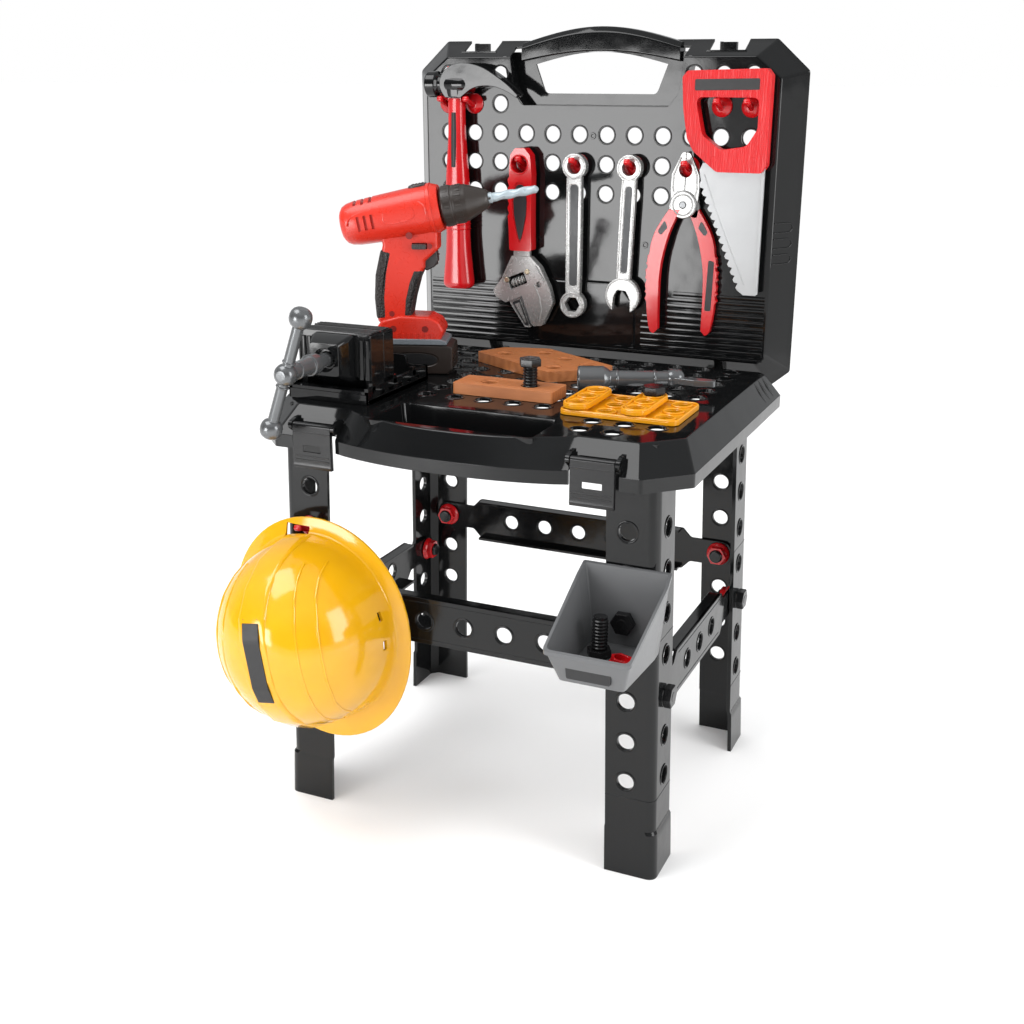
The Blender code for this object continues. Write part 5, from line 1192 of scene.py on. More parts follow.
blade = [(184.5, 617.5), (184, 491), (182, 489.4)] + \
    [(169.5, 489.2)] + list(reversed(teeth)) + [(118.5, 610), (122, 617.5)]
piece("saw_blade_moulding", [
    (lambda bm: prism(bm, blade, "y", -13.6, -11.2)),
    lambda bm: prism(bm, [(181.2, 617), (184.4, 617), (184.0, 496), (181.0, 496)], "y", -14.5, -10.9),
    lambda bm: tube_path(bm, smooth_curve([(124, -13.6, 606), (140, -13.6, 566), (156, -13.6, 530), (170, -13.6, 500)], 6), 0.5, 8),
], "steel_saw", "saw", ["saw_blade"], bevel=0.35, segments=2)

# ---- vice ------------------------------------------------------------------------------
VX, VZ, V0 = -144.0, 452.0, 412.3


def bar(x0, x1, y0, y1, z1, z0=None):
    return lambda bm: box(bm, (x0, y0, V0 if z0 is None else z0), (x1, y1, z1))


def frustum(bm):
    def r(h, z0, z1, y, rad):
        return [(x, y, z) for x, z in rounded_poly([(VX - h, z0), (VX + h, z0), (VX + h, z1), (VX - h, z1)], rad, 4)]
    loft(bm, [r(14.9, 437.6, 467.4, -304.0, 3), r(15.5, 437, 468, -303.4, 3), r(21, 430, 473, -291, 4), r(22, 428.4, 473.8, -283, 4)])


ribs = [lambda bm, x=x: loft(bm, [[(x + 2.9 * math.cos(a), -284 + 1.8 * math.sin(a), z) for a in [math.radians(t) for t in range(0, -181, -20)]] +
                                  [(x - 2.9, -283, z), (x + 2.9, -283, z)] for z in (432, 469)]) for x in (VX - 34, VX - 27.5, VX + 27.5, VX + 34)]
ridges = [lambda bm, y=y: rod(bm, (VX - 38, y, 475.0), (VX + 38, y, 475.0), 0.9, 12) for y in (-281, -276.5, -272, -267.5)]
rails = []
for sx, xa, xb in ((-1, VX - 44, VX - 40), (1, VX + 38, VX + 42)):
    rails.append((bar(xa, xb, -298, -181, V0 + 15), [[lambda bm, y=y, xa=xa, xb=xb: box(bm, (xa - 2, y, V0 + 5), (xb + 2, y + 9, V0 + 8.5)) for y in (-276, -259, -242, -225, -208)]]))
    rails += [bar(xa - 0.0, xb + 0.0, y, y + 6, V0 + 18.5, V0 + 10) for y in (-290, -250, -212)]
piece("vice_base_moulding", [
    (bar(VX - 44, VX + 42, -298, -181, V0 + 4), [[lambda bm: loft(bm, [super_ring((VX, -214, z), (1, 0, 0), (0, 1, 0), 9, 15, 2.2, 32) for z in (V0 + 2.4, V0 + 8)])]]),
    bar(VX - 44, VX + 42, -298, -287, V0 + 12), bar(VX - 42, VX + 40, -299.0, -296, V0 + 9), *rails, bar(VX - 44, VX + 42, -185, -181, V0 + 15),
    lambda bm: prism(bm, rounded_poly([(VX - 20, V0 + 3), (VX + 20, V0 + 3), (VX + 20, V0 + 24), (VX - 20, V0 + 24)], 5), "y", -186, -181),
    (lambda bm: prism(bm, rounded_poly([(VX - 39, V0 + 2), (VX + 39, V0 + 2), (VX + 39, 475), (VX - 39, 475)], [0, 0, 4, 4]), "y", -284, -262.3),
     [[cutc(VX, VZ, 7.4, 40, -310, -250)], [lambda bm: box(bm, (VX - 32, -290, V0 + 5), (VX + 32, -266, VZ - 18))]]),
    (frustum, [[cutc(VX, VZ, 7.4, 40, -310, -250)], [lambda bm: turned(bm, (VX, -306, VZ), (0, 1, 0), [(0, 11.2), (5.0, 11.2), (5.6, 9.4), (7.6, 9.4)], 48)]]),
    *ribs, *ridges,
    *[lambda bm, x=x: prism(bm, [(-284, 430), (-284, 474), (-285.4, 472), (-285.4, 433)], "x", x - 1, x + 1) for x in (VX - 38, VX + 38)],
    *[lambda bm, x=x, y=y: turned(bm, (x, y, V0 + 3.0), (0, 0, 1), [(0, 5.2), (1.3, 4.8), (1.3, 3), (.6, 2.8)], 28) for x in (VX - 30, VX + 28) for y in (-228, -196)],
], "vice", "bench", ["vice_base"], bevel=0.9, segments=3)
piece("vice_jaw_moulding", [
    (lambda bm: prism(bm, rounded_poly([(VX - 39, V0 + 17), (VX + 39, V0 + 17), (VX + 39, 475), (VX - 39, 475)], [0, 0, 4, 4]), "y", -261.7, -243), [[cutc(VX, VZ, 7.4, 40, -270, -235)]]),
    lambda bm: box(bm, (VX - 36, -261.7, V0 + 4.5), (VX + 36, -238, V0 + 18)),
    *[lambda bm, y=y: rod(bm, (VX - 38, y, 475.0), (VX + 38, y, 475.0), 0.9, 12) for y in (-258, -253.5, -249)],
    *[lambda bm, x=x: prism(bm, [(-243.2, V0 + 18), (-243.2, 470), (-239.5, V0 + 18)], "x", x - 1.5, x + 1.5) for x in (VX - 26, VX + 26)],
], "vice", "vice_jaw", ["vice_jaw"], bevel=0.9, segments=3)
TA = math.radians(20)


def hend(s, length):
    return Vector((VX + s * length * math.sin(TA), -367, VZ - 0.5 + s * length * math.cos(TA)))


BALL = [(0, 4), (.6, 5.8), (2.2, 8.0), (4.4, 9.4), (7.0, 10.1), (9, 10.2), (11, 10.1), (13.6, 9.4), (15.8, 8.0), (17.4, 5.8), (18, 4)]
piece("vice_screw_moulding", [
    lambda bm: turned(bm, (VX, -246, VZ), (0, -1, 0), [(0, 5.8), (1, 6.6)] + [p for k in range(18) for p in ((2 + 3.2 * k, 6.6), (3.0 + 3.2 * k, 5.9), (4.0 + 3.2 * k, 6.6))] +
                      [(66, 6.6), (72, 6.8), (73, 9.2), (74, 9.8), (83, 10.0), (84.4, 9.4), (85, 8.4), (98, 7.7), (121, 7.0)], 40),
    lambda bm: turned(bm, (VX, -376, VZ - .5), (0, 1, 0), BALL, 40),
    lambda bm: ring(bm, (VX, -350, VZ), (0, 1, 0), 7.4, 1.1, 40, 8),
    lambda bm: rod(bm, hend(-1, 54), hend(1, 54), 5.2, 32),
    lambda bm: turned(bm, hend(1, 45.5), hend(1, 2) - hend(1, 1), BALL, 40),
    lambda bm: turned(bm, hend(-1, 45.5), hend(-1, 2) - hend(-1, 1), BALL, 40),
    lambda bm: ring(bm, hend(1, 12), hend(1, 2) - hend(1, 1), 5.2, 1.0, 32, 8), lambda bm: ring(bm, hend(-1, 12), hend(1, 2) - hend(1, 1), 5.2, 1.0, 32, 8),
], "screw", "vice_screw", ["vice_screw"], bevel=0.25, angle=40)


# ---- drill, drawn in its own frame: forward, left, up ------------------------------------
DRILL = Matrix.Translation((-129, -145, 412.3)) @ Matrix.Rotation(math.radians(20), 4, "Z")
AXT = math.radians(10.8)
AXD = Vector((math.cos(AXT), 0, math.sin(AXT)))
AXN = Vector((-math.sin(AXT), 0, math.cos(AXT)))
AXP = Vector((27.0, 0, 164.5))


def slab(points, hw, radius=3.0, soft=None):
    """A side outline extruded across, its long edges rounded by shrinking end loops."""
    pts = rounded_poly(points, radius, 4)
    cx, cz = sum(p[0] for p in pts) / len(pts), sum(p[1] for p in pts) / len(pts)
    soft = soft if soft is not None else min(6.0, hw * 0.35)

    def ring_at(y, d):
        q = inset_poly(pts, d) if d else pts
        return [(p[0], y, p[1]) for p in q]
    steps = [(-hw, soft * .72), (-hw + soft * .12, soft * .38), (-hw + soft * .4, soft * .12), (-hw + soft, 0), (hw - soft, 0), (hw - soft * .4, soft * .12),
             (hw - soft * .12, soft * .38), (hw, soft * .72)]
    return lambda bm: loft(bm, [ring_at(y, d) for y, d in steps])


def ax_ring(t, a, b, lift=0.0, power=2.3, n=48):
    """A rounded section of the motor housing at a distance t along its axis."""
    c = AXP + AXD * t + AXN * lift
    return super_ring(c, (0, 1, 0), AXN, a, b, power, n)


def motor(bm):
    loft(bm, [ax_ring(-104, 12.6, 12.6), ax_ring(-103, 14.6, 14.6), ax_ring(-100.4, 18.0, 18.0), ax_ring(-96, 20.2, 20.2), ax_ring(-88, 21.5, 21.6),
              ax_ring(-62, 23.0, 23.0), ax_ring(-24, 24.5, 24.5), ax_ring(-12, 24.5, 24.5), ax_ring(-8.4, 24.0, 24.0), ax_ring(-6, 23.0, 23.0), ax_ring(-3.2, 22.0, 22.0)])


grip_out_d = [(-34, 128), (-41, 98), (-42.5, 75), (-41, 50), (-8, 50), (-4, 75), (2, 96), (8, 106), (8, 112), (22, 124), (22, 150), (-40, 150)]
foot_d = [(-43, 31), (-42, 46), (-36, 54), (-18, 59), (12, 58), (22, 53), (27, 44), (22, 31)]
switch_cut = [lambda bm: box(bm, (-4, -30, 124.5), (11, 30, 130.5))]
trigger_cut = [lambda bm: box(bm, (-1, -7.5, 101), (30, 7.5, 123.5))]


def panel_line(side, pts, r=0.7):
    """A raised outline on a side of the motor housing, given as (t along axis, angle from the side)."""
    path = []
    for t, a in pts:
        rr = 21.5 + (24.5 - 21.5) * min(1, max(0, (t + 88) / 64)) + 0.1
        ang = math.radians(a)
        path.append(AXP + AXD * t + Vector((0, 1, 0)) * (side * rr * math.cos(ang)) + AXN * (rr * math.sin(ang)))
    return lambda bm: tube_path(bm, smooth_curve(path, 3), r, 8)


# a darker red disc where each side screw sits: painted shade standing in for the screw hole
def side_screw(x, z, side, y=19.0, r=3.4):
    return (lambda bm: turned(bm, (x, side * (y + 1.0), z), (0, -side, 0), [(0, r), (.4, r - .3), (.6, r * .55), (3, r * .5)], 24), (), "drill_recess")


vents = [lambda bm, k=k: loft(bm, [[AXP + AXD * (-86 + 8 * k + dx) + AXN * n_ + Vector((0, y, 0)) for dx, y in ((-1.6, -15), (1.6, -15), (1.6, 15), (-1.6, 15))]
                                   for n_ in (17.5, 27.0)]) for k in range(3)]
side_vents = [lambda bm, k=k, s=s: loft(bm, [[AXP + AXD * (-84 + 7 * k + dx) + AXN * n_ + Vector((0, s * y_, 0)) for dx, n_ in ((-1.4, -7), (1.4, -7), (1.4, 7), (-1.4, 7))]
                                             for y_ in (19.0, 26.0)]) for k in range(3) for s in (-1, 1)]
body_parts = [
    (motor, [vents, side_vents, switch_cut]),
    (slab(grip_out_d, 14.5, 5.0), [trigger_cut, switch_cut]),
    (slab(foot_d, 20.5, 5.0, 4.0)),
    (slab([(-30, 150), (-20, 120), (18, 122), (24, 140), (24, 150)], 19, 4.0), [switch_cut, trigger_cut]),
    # rubber panels of the grip and the red strip between them
    (slab([(-36, 124), (-42.2, 98), (-43.6, 75), (-42.2, 54), (-31, 54), (-31.5, 76), (-29, 100), (-24, 122)], 15.2, 4.0, 5.0), (), "grip"),
    (slab([(-15, 54), (-7.2, 54), (-3.2, 75), (2.4, 95), (7.0, 104.5), (-4.0, 104.5), (-9, 92), (-13.5, 74)], 15.2, 3.0, 5.0), [trigger_cut], "grip"),
    # black slider on the top, near the front
    (lambda bm: loft(bm, [super_ring(AXP + AXD * t + AXN * h, (0, 1, 0), AXD, a, b, 3.2, 32) for t, h, a, b in
                          ((-22, 22.8, 8.6, 9.6), (-22, 25.0, 8.4, 9.4), (-22, 25.9, 7.4, 8.4))]), (), "trigger"),
    *[(lambda bm, k=k: loft(bm, [[AXP + AXD * (-27 + 3.3 * k + dx) + AXN * h + Vector((0, y, 0)) for dx, y in ((-.7, -6.5), (.7, -6.5), (.7, 6.5), (-.7, 6.5))]
                                 for h in (25.4, 26.6)]), (), "trigger") for k in range(4)],
    # front collar
    (lambda bm: loft(bm, [ax_ring(-14, 24.6, 24.6), ax_ring(-13.4, 25.3, 25.3), ax_ring(-10.6, 25.3, 25.3), ax_ring(-10, 24.6, 24.6)])),
]
for s in (-1, 1):
    body_parts += [panel_line(s, [(-96, 0), (-90, 22), (-70, 30), (-30, 30), (-18, 20), (-16, 0), (-20, -22), (-44, -30)]),
                   panel_line(s, [(-58, 14), (-52, 20), (-34, 20), (-28, 12), (-28, -4), (-36, -12), (-54, -12), (-59, -4), (-58, 14)], 0.55),
                   side_screw(-6, 138, s, 18.4), side_screw(14, 128, s, 18.4, 2.8), side_screw(-26, 60, s, 13.6, 2.8), side_screw(-24, 46, s, 19.8, 3.2), side_screw(8, 46, s, 19.8, 3.2)]
    body_parts += [(lambda bm, k=k, s=s: box(bm, (-34 + 6 * k, min(s * 19.4, s * 21.2), 33.5), (-31.5 + 6 * k, max(s * 19.4, s * 21.2), 41.5))) for k in range(9)]
piece("drill_body_moulding", body_parts, "drill_red", "drill", ["drill_body"], bevel=0.5, segments=2, angle=40, turn=DRILL)

batt = [(-36, 0), (30, 0), (35, 5), (36, 28), (30, 30.1), (-38, 30.1), (-41, 25), (-41, 5)]
piece("drill_battery_moulding", [
    (slab(batt, 22, 3.0, 3.0), [[lambda bm, s=s: loft(bm, [super_ring((-3, s * (22.6 - d), 15), (1, 0, 0), (0, 0, 1), a, b, 2.4, 40) for d, a, b in ((0, 25, 8.5), (1.5, 23.6, 7.2))]) for s in (-1, 1)]]),
    *[lambda bm, k=k: box(bm, (35.0, -16, 6.5 + 4 * k), (36.7, 16, 8.3 + 4 * k)) for k in range(5)],
    *[(lambda bm, s=s: loft(bm, [super_ring((-3, s * (20.9 + d), 15), (1, 0, 0), (0, 0, 1), 22.5, 6.4, 2.4, 40) for d in (0, .5)]), (), "label") for s in (-1, 1)],
    # speckled grey plate between the foot and the battery
    (slab([(-44, 30.2), (-43, 36), (22, 36), (29.5, 33.5), (30, 30.2)], 22.6, 1.5, 1.2), [[lambda bm: box(bm, (-60, -40, 36.2), (60, 40, 60))]], "plate_grey"),
], "battery", "drill_battery", ["drill_battery"], bevel=0.7, segments=2, turn=DRILL)
piece("drill_trigger_moulding", [slab([(5.5, 104), (9, 102), (17, 106), (20.5, 112), (19.5, 122.5), (5.5, 122.5)], 6.8, 2.5, 2.4),
                                 *[lambda bm, k=k: box(bm, (16.5 + .7 * k, -4.6, 108 + 3 * k), (19.6 + .5 * k, 4.6, 109.2 + 3 * k)) for k in range(4)]],
      "trigger", "drill_trigger", ["drill_trigger"], bevel=0.5, turn=DRILL)
piece("drill_switch_moulding", [lambda bm: prism(bm, rounded_poly([(-3.5, 125.0), (10.5, 125.0), (10.5, 130.0), (-3.5, 130.0)], 1.4), "y", -21.4, 21.4),
                                *[lambda bm, k=k, s=s: rod(bm, (-0.5 + 2.6 * k, s * 21.2, 125.8), (-0.5 + 2.6 * k, s * 21.2, 129.2), 0.6, 10) for k in range(4) for s in (-1, 1)]],
      "trigger", "drill_switch", ["drill_direction_switch"], bevel=0.5, turn=DRILL)
CH0 = AXP + AXD * -2.4
d_, s_, u_ = basis(AXD)


def dash(t, r0, k, n, length=5.0, depth=1.0):
    a = 2 * math.pi * k / n
    o = s_ * math.cos(a) + u_ * math.sin(a)
    w = s_ * -math.sin(a) + u_ * math.cos(a)
    c = CH0 + AXD * t
    slope = 0.0
    return lambda bm: loft(bm, [[c + AXD * dt + o * (r0 + dr) + w * dw for dt, dr in ((0, -1.2), (0, depth), (length, depth - slope), (length, -1.2))] for dw in (-1.0, 1.0)])


def flute(bm):
    """The bit: two spiral lands round a core."""
    n, turns = 90, 1.6
    rings = []
    for i in range(n + 1):
        t = 44 + 50 * i / n
        c = CH0 + AXD * t
        a0 = 2 * math.pi * turns * i / n
        loop = []
        for k in range(28):
            a = 2 * math.pi * k / 28
            r = 4.05 + 0.45 * max(-0.75, math.cos(2 * (a - a0)))
            loop.append(c + s_ * (r * math.cos(a)) + u_ * (r * math.sin(a)))
        rings.append(loop)
    for t, k_ in ((95.2, .8), (96.3, .55), (97, .25)):
        rings.append([CH0 + AXD * t + s_ * (3.6 * k_ * math.cos(2 * math.pi * k / 28)) + u_ * (3.6 * k_ * math.sin(2 * math.pi * k / 28)) for k in range(28)])
    loft(bm, rings)


piece("drill_chuck_moulding", [
    lambda bm: turned(bm, CH0, AXD, [(0, 17.6), (.6, 18.6), (2.0, 19.7), (3.2, 20.0), (11, 19.6), (11.6, 18.9), (13.0, 18.8), (13.6, 19.2), (25.0, 17.9), (26.2, 17.3),
                                     (30, 15.8), (38, 12.4), (44, 9.6), (46, 8.6), (47, 7.4)], 56),
    *[dash(4.4, 19.3, k, 22, 5.0, .8) for k in range(22)], *[dash(15.4, 18.5, k, 22, 6.0, .7) for k in range(22)],
    (flute, (), "bit"), (lambda bm: turned(bm, CH0, AXD, [(44, 5.2), (50, 5.2), (51, 4.6)], 32), (), "bit"),
    *[(lambda bm, k=k: loft(bm, [[CH0 + AXD * t + (s_ * math.cos(2.094 * k + dw) + u_ * math.sin(2.094 * k + dw)) * r for dw, r in ((-.16, 3.5), (-.16, rr), (.16, rr), (.16, 3.5))]
                                 for t, rr in ((42, 9.4), (49.4, 6.6))]), (), "chuck") for k in range(3)],
], "chuck", "drill_chuck", ["drill_chuck_and_bit"], bevel=0.3, segments=2, angle=40, turn=DRILL)

# ---- planks ----------------------------------------------------------------------------


def recessed_hole(x, y, z):
    """A round hole with a shallow sunk edge, as one turned cutter."""
    return lambda bm: turned(bm, (x, y, z - 20), (0, 0, 1), [(0, 7.6), (23.2, 7.6), (23.8, 9.0), (30, 9.2)], 40)


PRA = math.radians(-30)


def pr(a, b):
    c, s = math.cos(PRA), math.sin(PRA)
    return (-16 + a * c - b * s, -88 + a * s + b * c)


def grain_groove(points, z):
    return lambda bm: tube_path(bm, points, 0.35, 6)


front_outline = rounded_poly([(-53, -224), (50, -224), (50, -188), (-53, -188)], 2.5)
piece("plank_front_moulding", [
    (lambda bm: prism(bm, front_outline, "z", TOP_Z + GAP, TOP_Z + 11), [[recessed_hole(-22, -206, TOP_Z + 6.4), recessed_hole(20, -206, TOP_Z + 6.4)]]),
    *[lambda bm, k=k: tube_path(bm, smooth_curve([(-52, -221 + 4.6 * k, TOP_Z + 10.95), (-30, -220.4 + 4.6 * k, TOP_Z + 11), (0, -221.2 + 4.6 * k, TOP_Z + 11),
                                                   (49, -220.6 + 4.6 * k, TOP_Z + 10.95)], 5), 0.32, 6) for k in (0, 1, 6, 7)],
], "wood", "plank_front", ["plank_front"], bevel=0.8, segments=3)
rear = rounded_poly([pr(*p) for p in ((-70, -35), (53, -35), (66, -2), (70, 35), (-36, 35), (-54, 18), (-70, 1))], 3)
spots_r = [(-45, -17), (0, -17), (38, -17), (-22, 18), (14, 18), (50, 18)]
piece("plank_rear_moulding", [
    (lambda bm: prism(bm, rear, "z", TOP_Z + GAP, TOP_Z + 11), [[recessed_hole(*pr(a, b), TOP_Z + 6.4) for a, b in spots_r]]),
    *[lambda bm, q=q: tube_path(bm, [(*pr(a, q[1]), TOP_Z + 11) for a in q[0]], 0.32, 6) for q in
      (((-68, 64), -32), ((-68, 66), -29), ((-68, 64), -3), ((-60, 66), 0.5), ((-50, 67), 4), ((-35, 68), 31.5), ((-32, 69), 28.5))],
], "wood", "plank_rear", ["plank_rear"], bevel=0.8, segments=3)
bolt("bolt_plank", (20, -206, TOP_Z + 30), (0, 0, -1), 0.0, 24.6, False, "bolt_plank")

# ---- yellow plate and strips -----------------------------------------------------------


def rounded_box(cx, cy, hx, hy, r, n=8):
    pts = []
    for qx, qy, a in ((1, -1, -90), (1, 1, 0), (-1, 1, 90), (-1, -1, 180)):
        pts += arc(cx + qx * (hx - r), cy + qy * (hy - r), r, a, a + 90, n)
    return pts


def rim_tube(pts, z, r=1.0):
    """A closed bead along an outline."""
    loops = []
    n = len(pts)
    for i, p in enumerate(pts):
        a, b = Vector(pts[i - 1]), Vector(pts[(i + 1) % n])
        t = (b - a).normalized() if (b - a).length > 1e-6 else Vector((1, 0))
        nrm = Vector((-t.y, t.x))
        loops.append([(p[0] + nrm.x * r * math.cos(q), p[1] + nrm.y * r * math.cos(q), z + r * math.sin(q)) for q in [2 * math.pi * k / 8 for k in range(8)]])

    def make(bm):
        made = [[bm.verts.new(v_) for v_ in loop] for loop in loops]
        for i in range(n):
            a, b = made[i], made[(i + 1) % n]
            for k in range(8):
                bm.faces.new((a[k], a[(k + 1) % 8], b[(k + 1) % 8], b[k]))
    return make


PLX, PLY = 124.0, -219.0
plate_spots = [(PLX - 41 + 27.3 * i, PLY + 25 * j) for i in range(4) for j in (-1, 0, 1)]
piece("plate_large_moulding", [
    (lambda bm: prism(bm, rounded_box(PLX, PLY, 55.5, 37, 8), "z", TOP_Z + GAP, TOP_Z + 3.7), [[hole(x, y, TOP_Z, "z", 30, 7.6) for x, y in plate_spots]]),
    rim_tube(rounded_box(PLX, PLY, 54.2, 35.7, 7), TOP_Z + 4.2, 1.35),
    *[lambda bm, s=s: ring(bm, (s[0], s[1], TOP_Z + 4.2), (0, 0, 1), 8.9, 1.3, 40, 8) for s in plate_spots],
], "plate", "plate_large", ["plate_large"], bevel=0.5, segments=2)
for name, sx in (("strip_left", PLX - 41), ("strip_right", PLX + 13.6)):
    piece(f"{name}_moulding", [
        (lambda bm, sx=sx: prism(bm, rounded_box(sx, PLY, 13, 38, 12), "z", TOP_Z + 6 + GAP, TOP_Z + 9.8), [[hole(sx, PLY + 25 * j, TOP_Z + 8, "z", 20, 7.6) for j in (-1, 0, 1)]]),
        rim_tube(rounded_box(sx, PLY, 11.7, 36.7, 11), TOP_Z + 10.3, 1.35),
        *[lambda bm, j=j, sx=sx: ring(bm, (sx, PLY + 25 * j, TOP_Z + 10.3), (0, 0, 1), 8.9, 1.3, 40, 8) for j in (-1, 0, 1)],
    ], "plate", name, [name], bevel=0.5, segments=2)
bolt("bolt_strip", (PLX + 13.6, PLY + 25, TOP_Z + 12.2), (0, 0, -1), 0.0, 7.0, False, "bolt_strip")

# ---- box spanner -----------------------------------------------------------------------
BSA = math.radians(24.5)
BSD = Vector((math.cos(BSA), math.sin(BSA), 0))
BSO = Vector((52, -166, TOP_Z + 12.6))


def bs(t, s, h=0.0):
    return (BSO.x + t * BSD.x - s * BSD.y, BSO.y + t * BSD.y + s * BSD.x, BSO.z + h)


piece("box_spanner_moulding", [
    (lambda bm: turned(bm, BSO, BSD, [(0, 11.2), (.8, 12.0), (24, 12.0), (25.4, 11.6), (29, 9.4), (31, 7.7), (60, 7.3), (88, 7.0), (92, 6.0)], 48),
     [[lambda bm: turned(bm, bs(-2, 0), BSD, [(0, 9.2), (20, 9.2)], 6)]]),
    lambda bm: turned(bm, bs(84, 0), BSD, BALL[:1] + [(1, 5.8), (3, 8), (6, 9.0), (9, 9.2), (12, 9.0), (15, 8), (17, 5.8), (18, 4)], 40),
    lambda bm: prism(bm, rounded_poly([bs(94, -4)[:2], bs(112, -9)[:2], bs(130, -16)[:2], bs(128, -25)[:2], bs(108, -20)[:2], bs(90, -8)[:2]], 2.5), "z", BSO.z - 3.5, BSO.z + 2.5),
    lambda bm: prism(bm, rounded_poly([bs(88, 5)[:2], bs(96, 8)[:2], bs(94, 22)[:2], bs(84, 26)[:2], bs(86, 16)[:2]], 2), "z", BSO.z - 3.5, BSO.z + 2.5),
    lambda bm: turned(bm, bs(36, 0), BSD, [(0, 7.4), (.6, 8.4), (2.4, 8.4), (3.0, 7.4)], 40), lambda bm: turned(bm, bs(72, 0), BSD, [(0, 7.0), (.6, 8.0), (2.4, 8.0), (3.0, 7.0)], 40),
], "screw", "box_spanner", ["box_spanner"], bevel=0.6, segments=2)

# ---- helmet ----------------------------------------------------------------------------
HHZ = HOLE0_Z - LEG_PITCH
hx1, hy1 = leg_corner(HHZ, True)
HHX = -(hx1 - 27.5)
hook("hook_helmet", HHX, HHZ, hy1 - 0.2, "bench")
HC, HROLL = (-141.0, -333.5, 205.0), math.radians(9.0)


def hp(u, w, h):
    c, s = math.cos(HROLL), math.sin(HROLL)
    return (HC[0] + w * c + u * s, HC[1] - h, HC[2] - u * c + w * s)


def hring(peak, rear_, half_, h, n=72, ridge=0.0, wide=0.20):
    out = []
    for i in range(n):
        a = 2 * math.pi * i / n
        c, s = math.cos(a), math.sin(a)
        u = (peak if c > 0 else rear_) * c
        w = half_ * s
        hh = h
        if ridge:
            hh += ridge * max(0.0, 1 - abs(w) / 16.0) ** 0.5 * (1 if abs(w) < 16 else 0)
        out.append(hp(u, w, hh))
    return out


shell = [(120, 104, 96, 0.0), (120.5, 104.5, 96.5, 1.3), (120.0, 104, 96, 2.6), (112, 99, 92, 4.2), (98, 92.5, 86, 6.0), (94.6, 90.4, 84.4, 8.0), (93.2, 89.4, 83.4, 12),
         (92, 88.6, 82.6, 20), (91, 88, 82, 30.0), (87.6, 85.4, 79.2, 45.0), (82, 81, 75, 60.0), (74.5, 74, 68.4, 74), (64, 64, 59, 86.0), (53, 53.4, 49.5, 95.2),
         (40, 41, 38, 103.0), (28, 29, 27, 107.6), (16, 17, 15, 109.4), (7, 7.6, 7, 110.0), (1, 1, 1, 110.1)]
hollow = [(91.5, 87.5, 81.5, -2.0), (90.5, 86.5, 80.5, 6.0), (88, 85, 79, 30.0), (84, 82.5, 76, 45), (79, 78, 72, 58.0), (71, 71, 66, 72), (61, 61, 56, 83.0), (50, 50, 46, 92),
          (38, 39, 36, 99.5), (26, 27, 25, 104), (15, 16, 14, 106.6), (1, 1, 1, 107.5)]


def crown_ridge(bm):
    """The raised band over the crown, from front to rear."""
    import_pts = [(-88.4, 12), (-87.4, 30), (-80.4, 60), (-63.4, 86), (-40.6, 103), (-16.8, 110), (0, 111.0), (15.8, 110), (39.6, 103), (63.4, 86), (81.4, 60), (90.4, 30), (92.4, 12)]
    rings = []
    for i, (u, h) in enumerate(import_pts):
        a, b = import_pts[max(0, i - 1)], import_pts[min(len(import_pts) - 1, i + 1)]
        t = Vector((b[0] - a[0], b[1] - a[1])).normalized()
        nrm = Vector((-t.y, t.x))
        if nrm.dot(Vector((u, h - 30))) < 0:
            nrm = -nrm
        top = min(2.8, 111.0 - h if abs(u) < 1 else 2.8)
        loop = []
        for w, d in ((-15, -3), (-14, .2), (-12.6, 1.6), (-10, 2.4), (0, 2.7), (10, 2.4), (12.6, 1.6), (14, .2), (15, -3)):
            dd = d if d < 0 else d * (1.0 if h < 106 else max(0.0, (111.0 - h) / 5.0) * 0.8)
            loop.append(hp(u + nrm.x * dd, w, min(h + nrm.y * dd, 110.2)))
        rings.append(loop)
    loft(bm, rings)


def shell_height(u, w):
    """The height of the shell's skin above a place on the helmet's base plane."""
    best = 0.0
    for (p0, r0, b0, h0), (p1, r1, b1, h1) in zip(shell[6:], shell[7:]):
        e0 = math.hypot(u / (p0 if u > 0 else r0), w / b0)
        e1 = math.hypot(u / (p1 if u > 0 else r1), w / b1)
        if e0 <= 1.0 <= e1:
            f = (1.0 - e0) / (e1 - e0)
            best = max(best, h0 + (h1 - h0) * f)
    return best


def side_rib(w0, w1, reach=1.0):
    """A low rib that follows the shell beside the crown band."""
    def make(bm):
        path = []
        for k in range(21):
            u = (-84 + 168 * k / 20) * reach
            w = w0 * (1.0 - 0.30 * (abs(u) / 88.0) ** 2)
            h = shell_height(u, w)
            if h > 24:
                path.append(hp(u, w, h - 0.3))
        tube_path(bm, smooth_curve(path, 3), 1.2, 10)
    return make


def helmet_slot_cut(w0, w1, h0, h1, u0, u1):
    return lambda bm: loft(bm, [[hp(u0, w0, h), hp(u1, w0, h), hp(u1, w1, h), hp(u0, w1, h)] for h in (h0, h1)])


vslots = [(lambda bm, s=s, u=u: loft(bm, [[hp(u - 4.5, w, 21), hp(u + 4.5, w, 21), hp(u + 4.5, w, 26.5), hp(u - 4.5, w, 26.5)] for w in sorted((s * 74, s * 94))])) for s in (-1, 1) for u in (-14, 14)]
hook_slot = lambda bm: box(bm, (HHX - 13, HC[1] - 20, HHZ - 6.5), (HHX + 13, HC[1] + 6, HHZ + 8.0))
under = lambda bm: loft(bm, [hring(117.5, 101.5, 93.5, -2.0), hring(117.5, 101.5, 93.5, 0.8), hring(112, 98, 90.5, 2.3), hring(92.2, 88.2, 82.2, 4.2)])


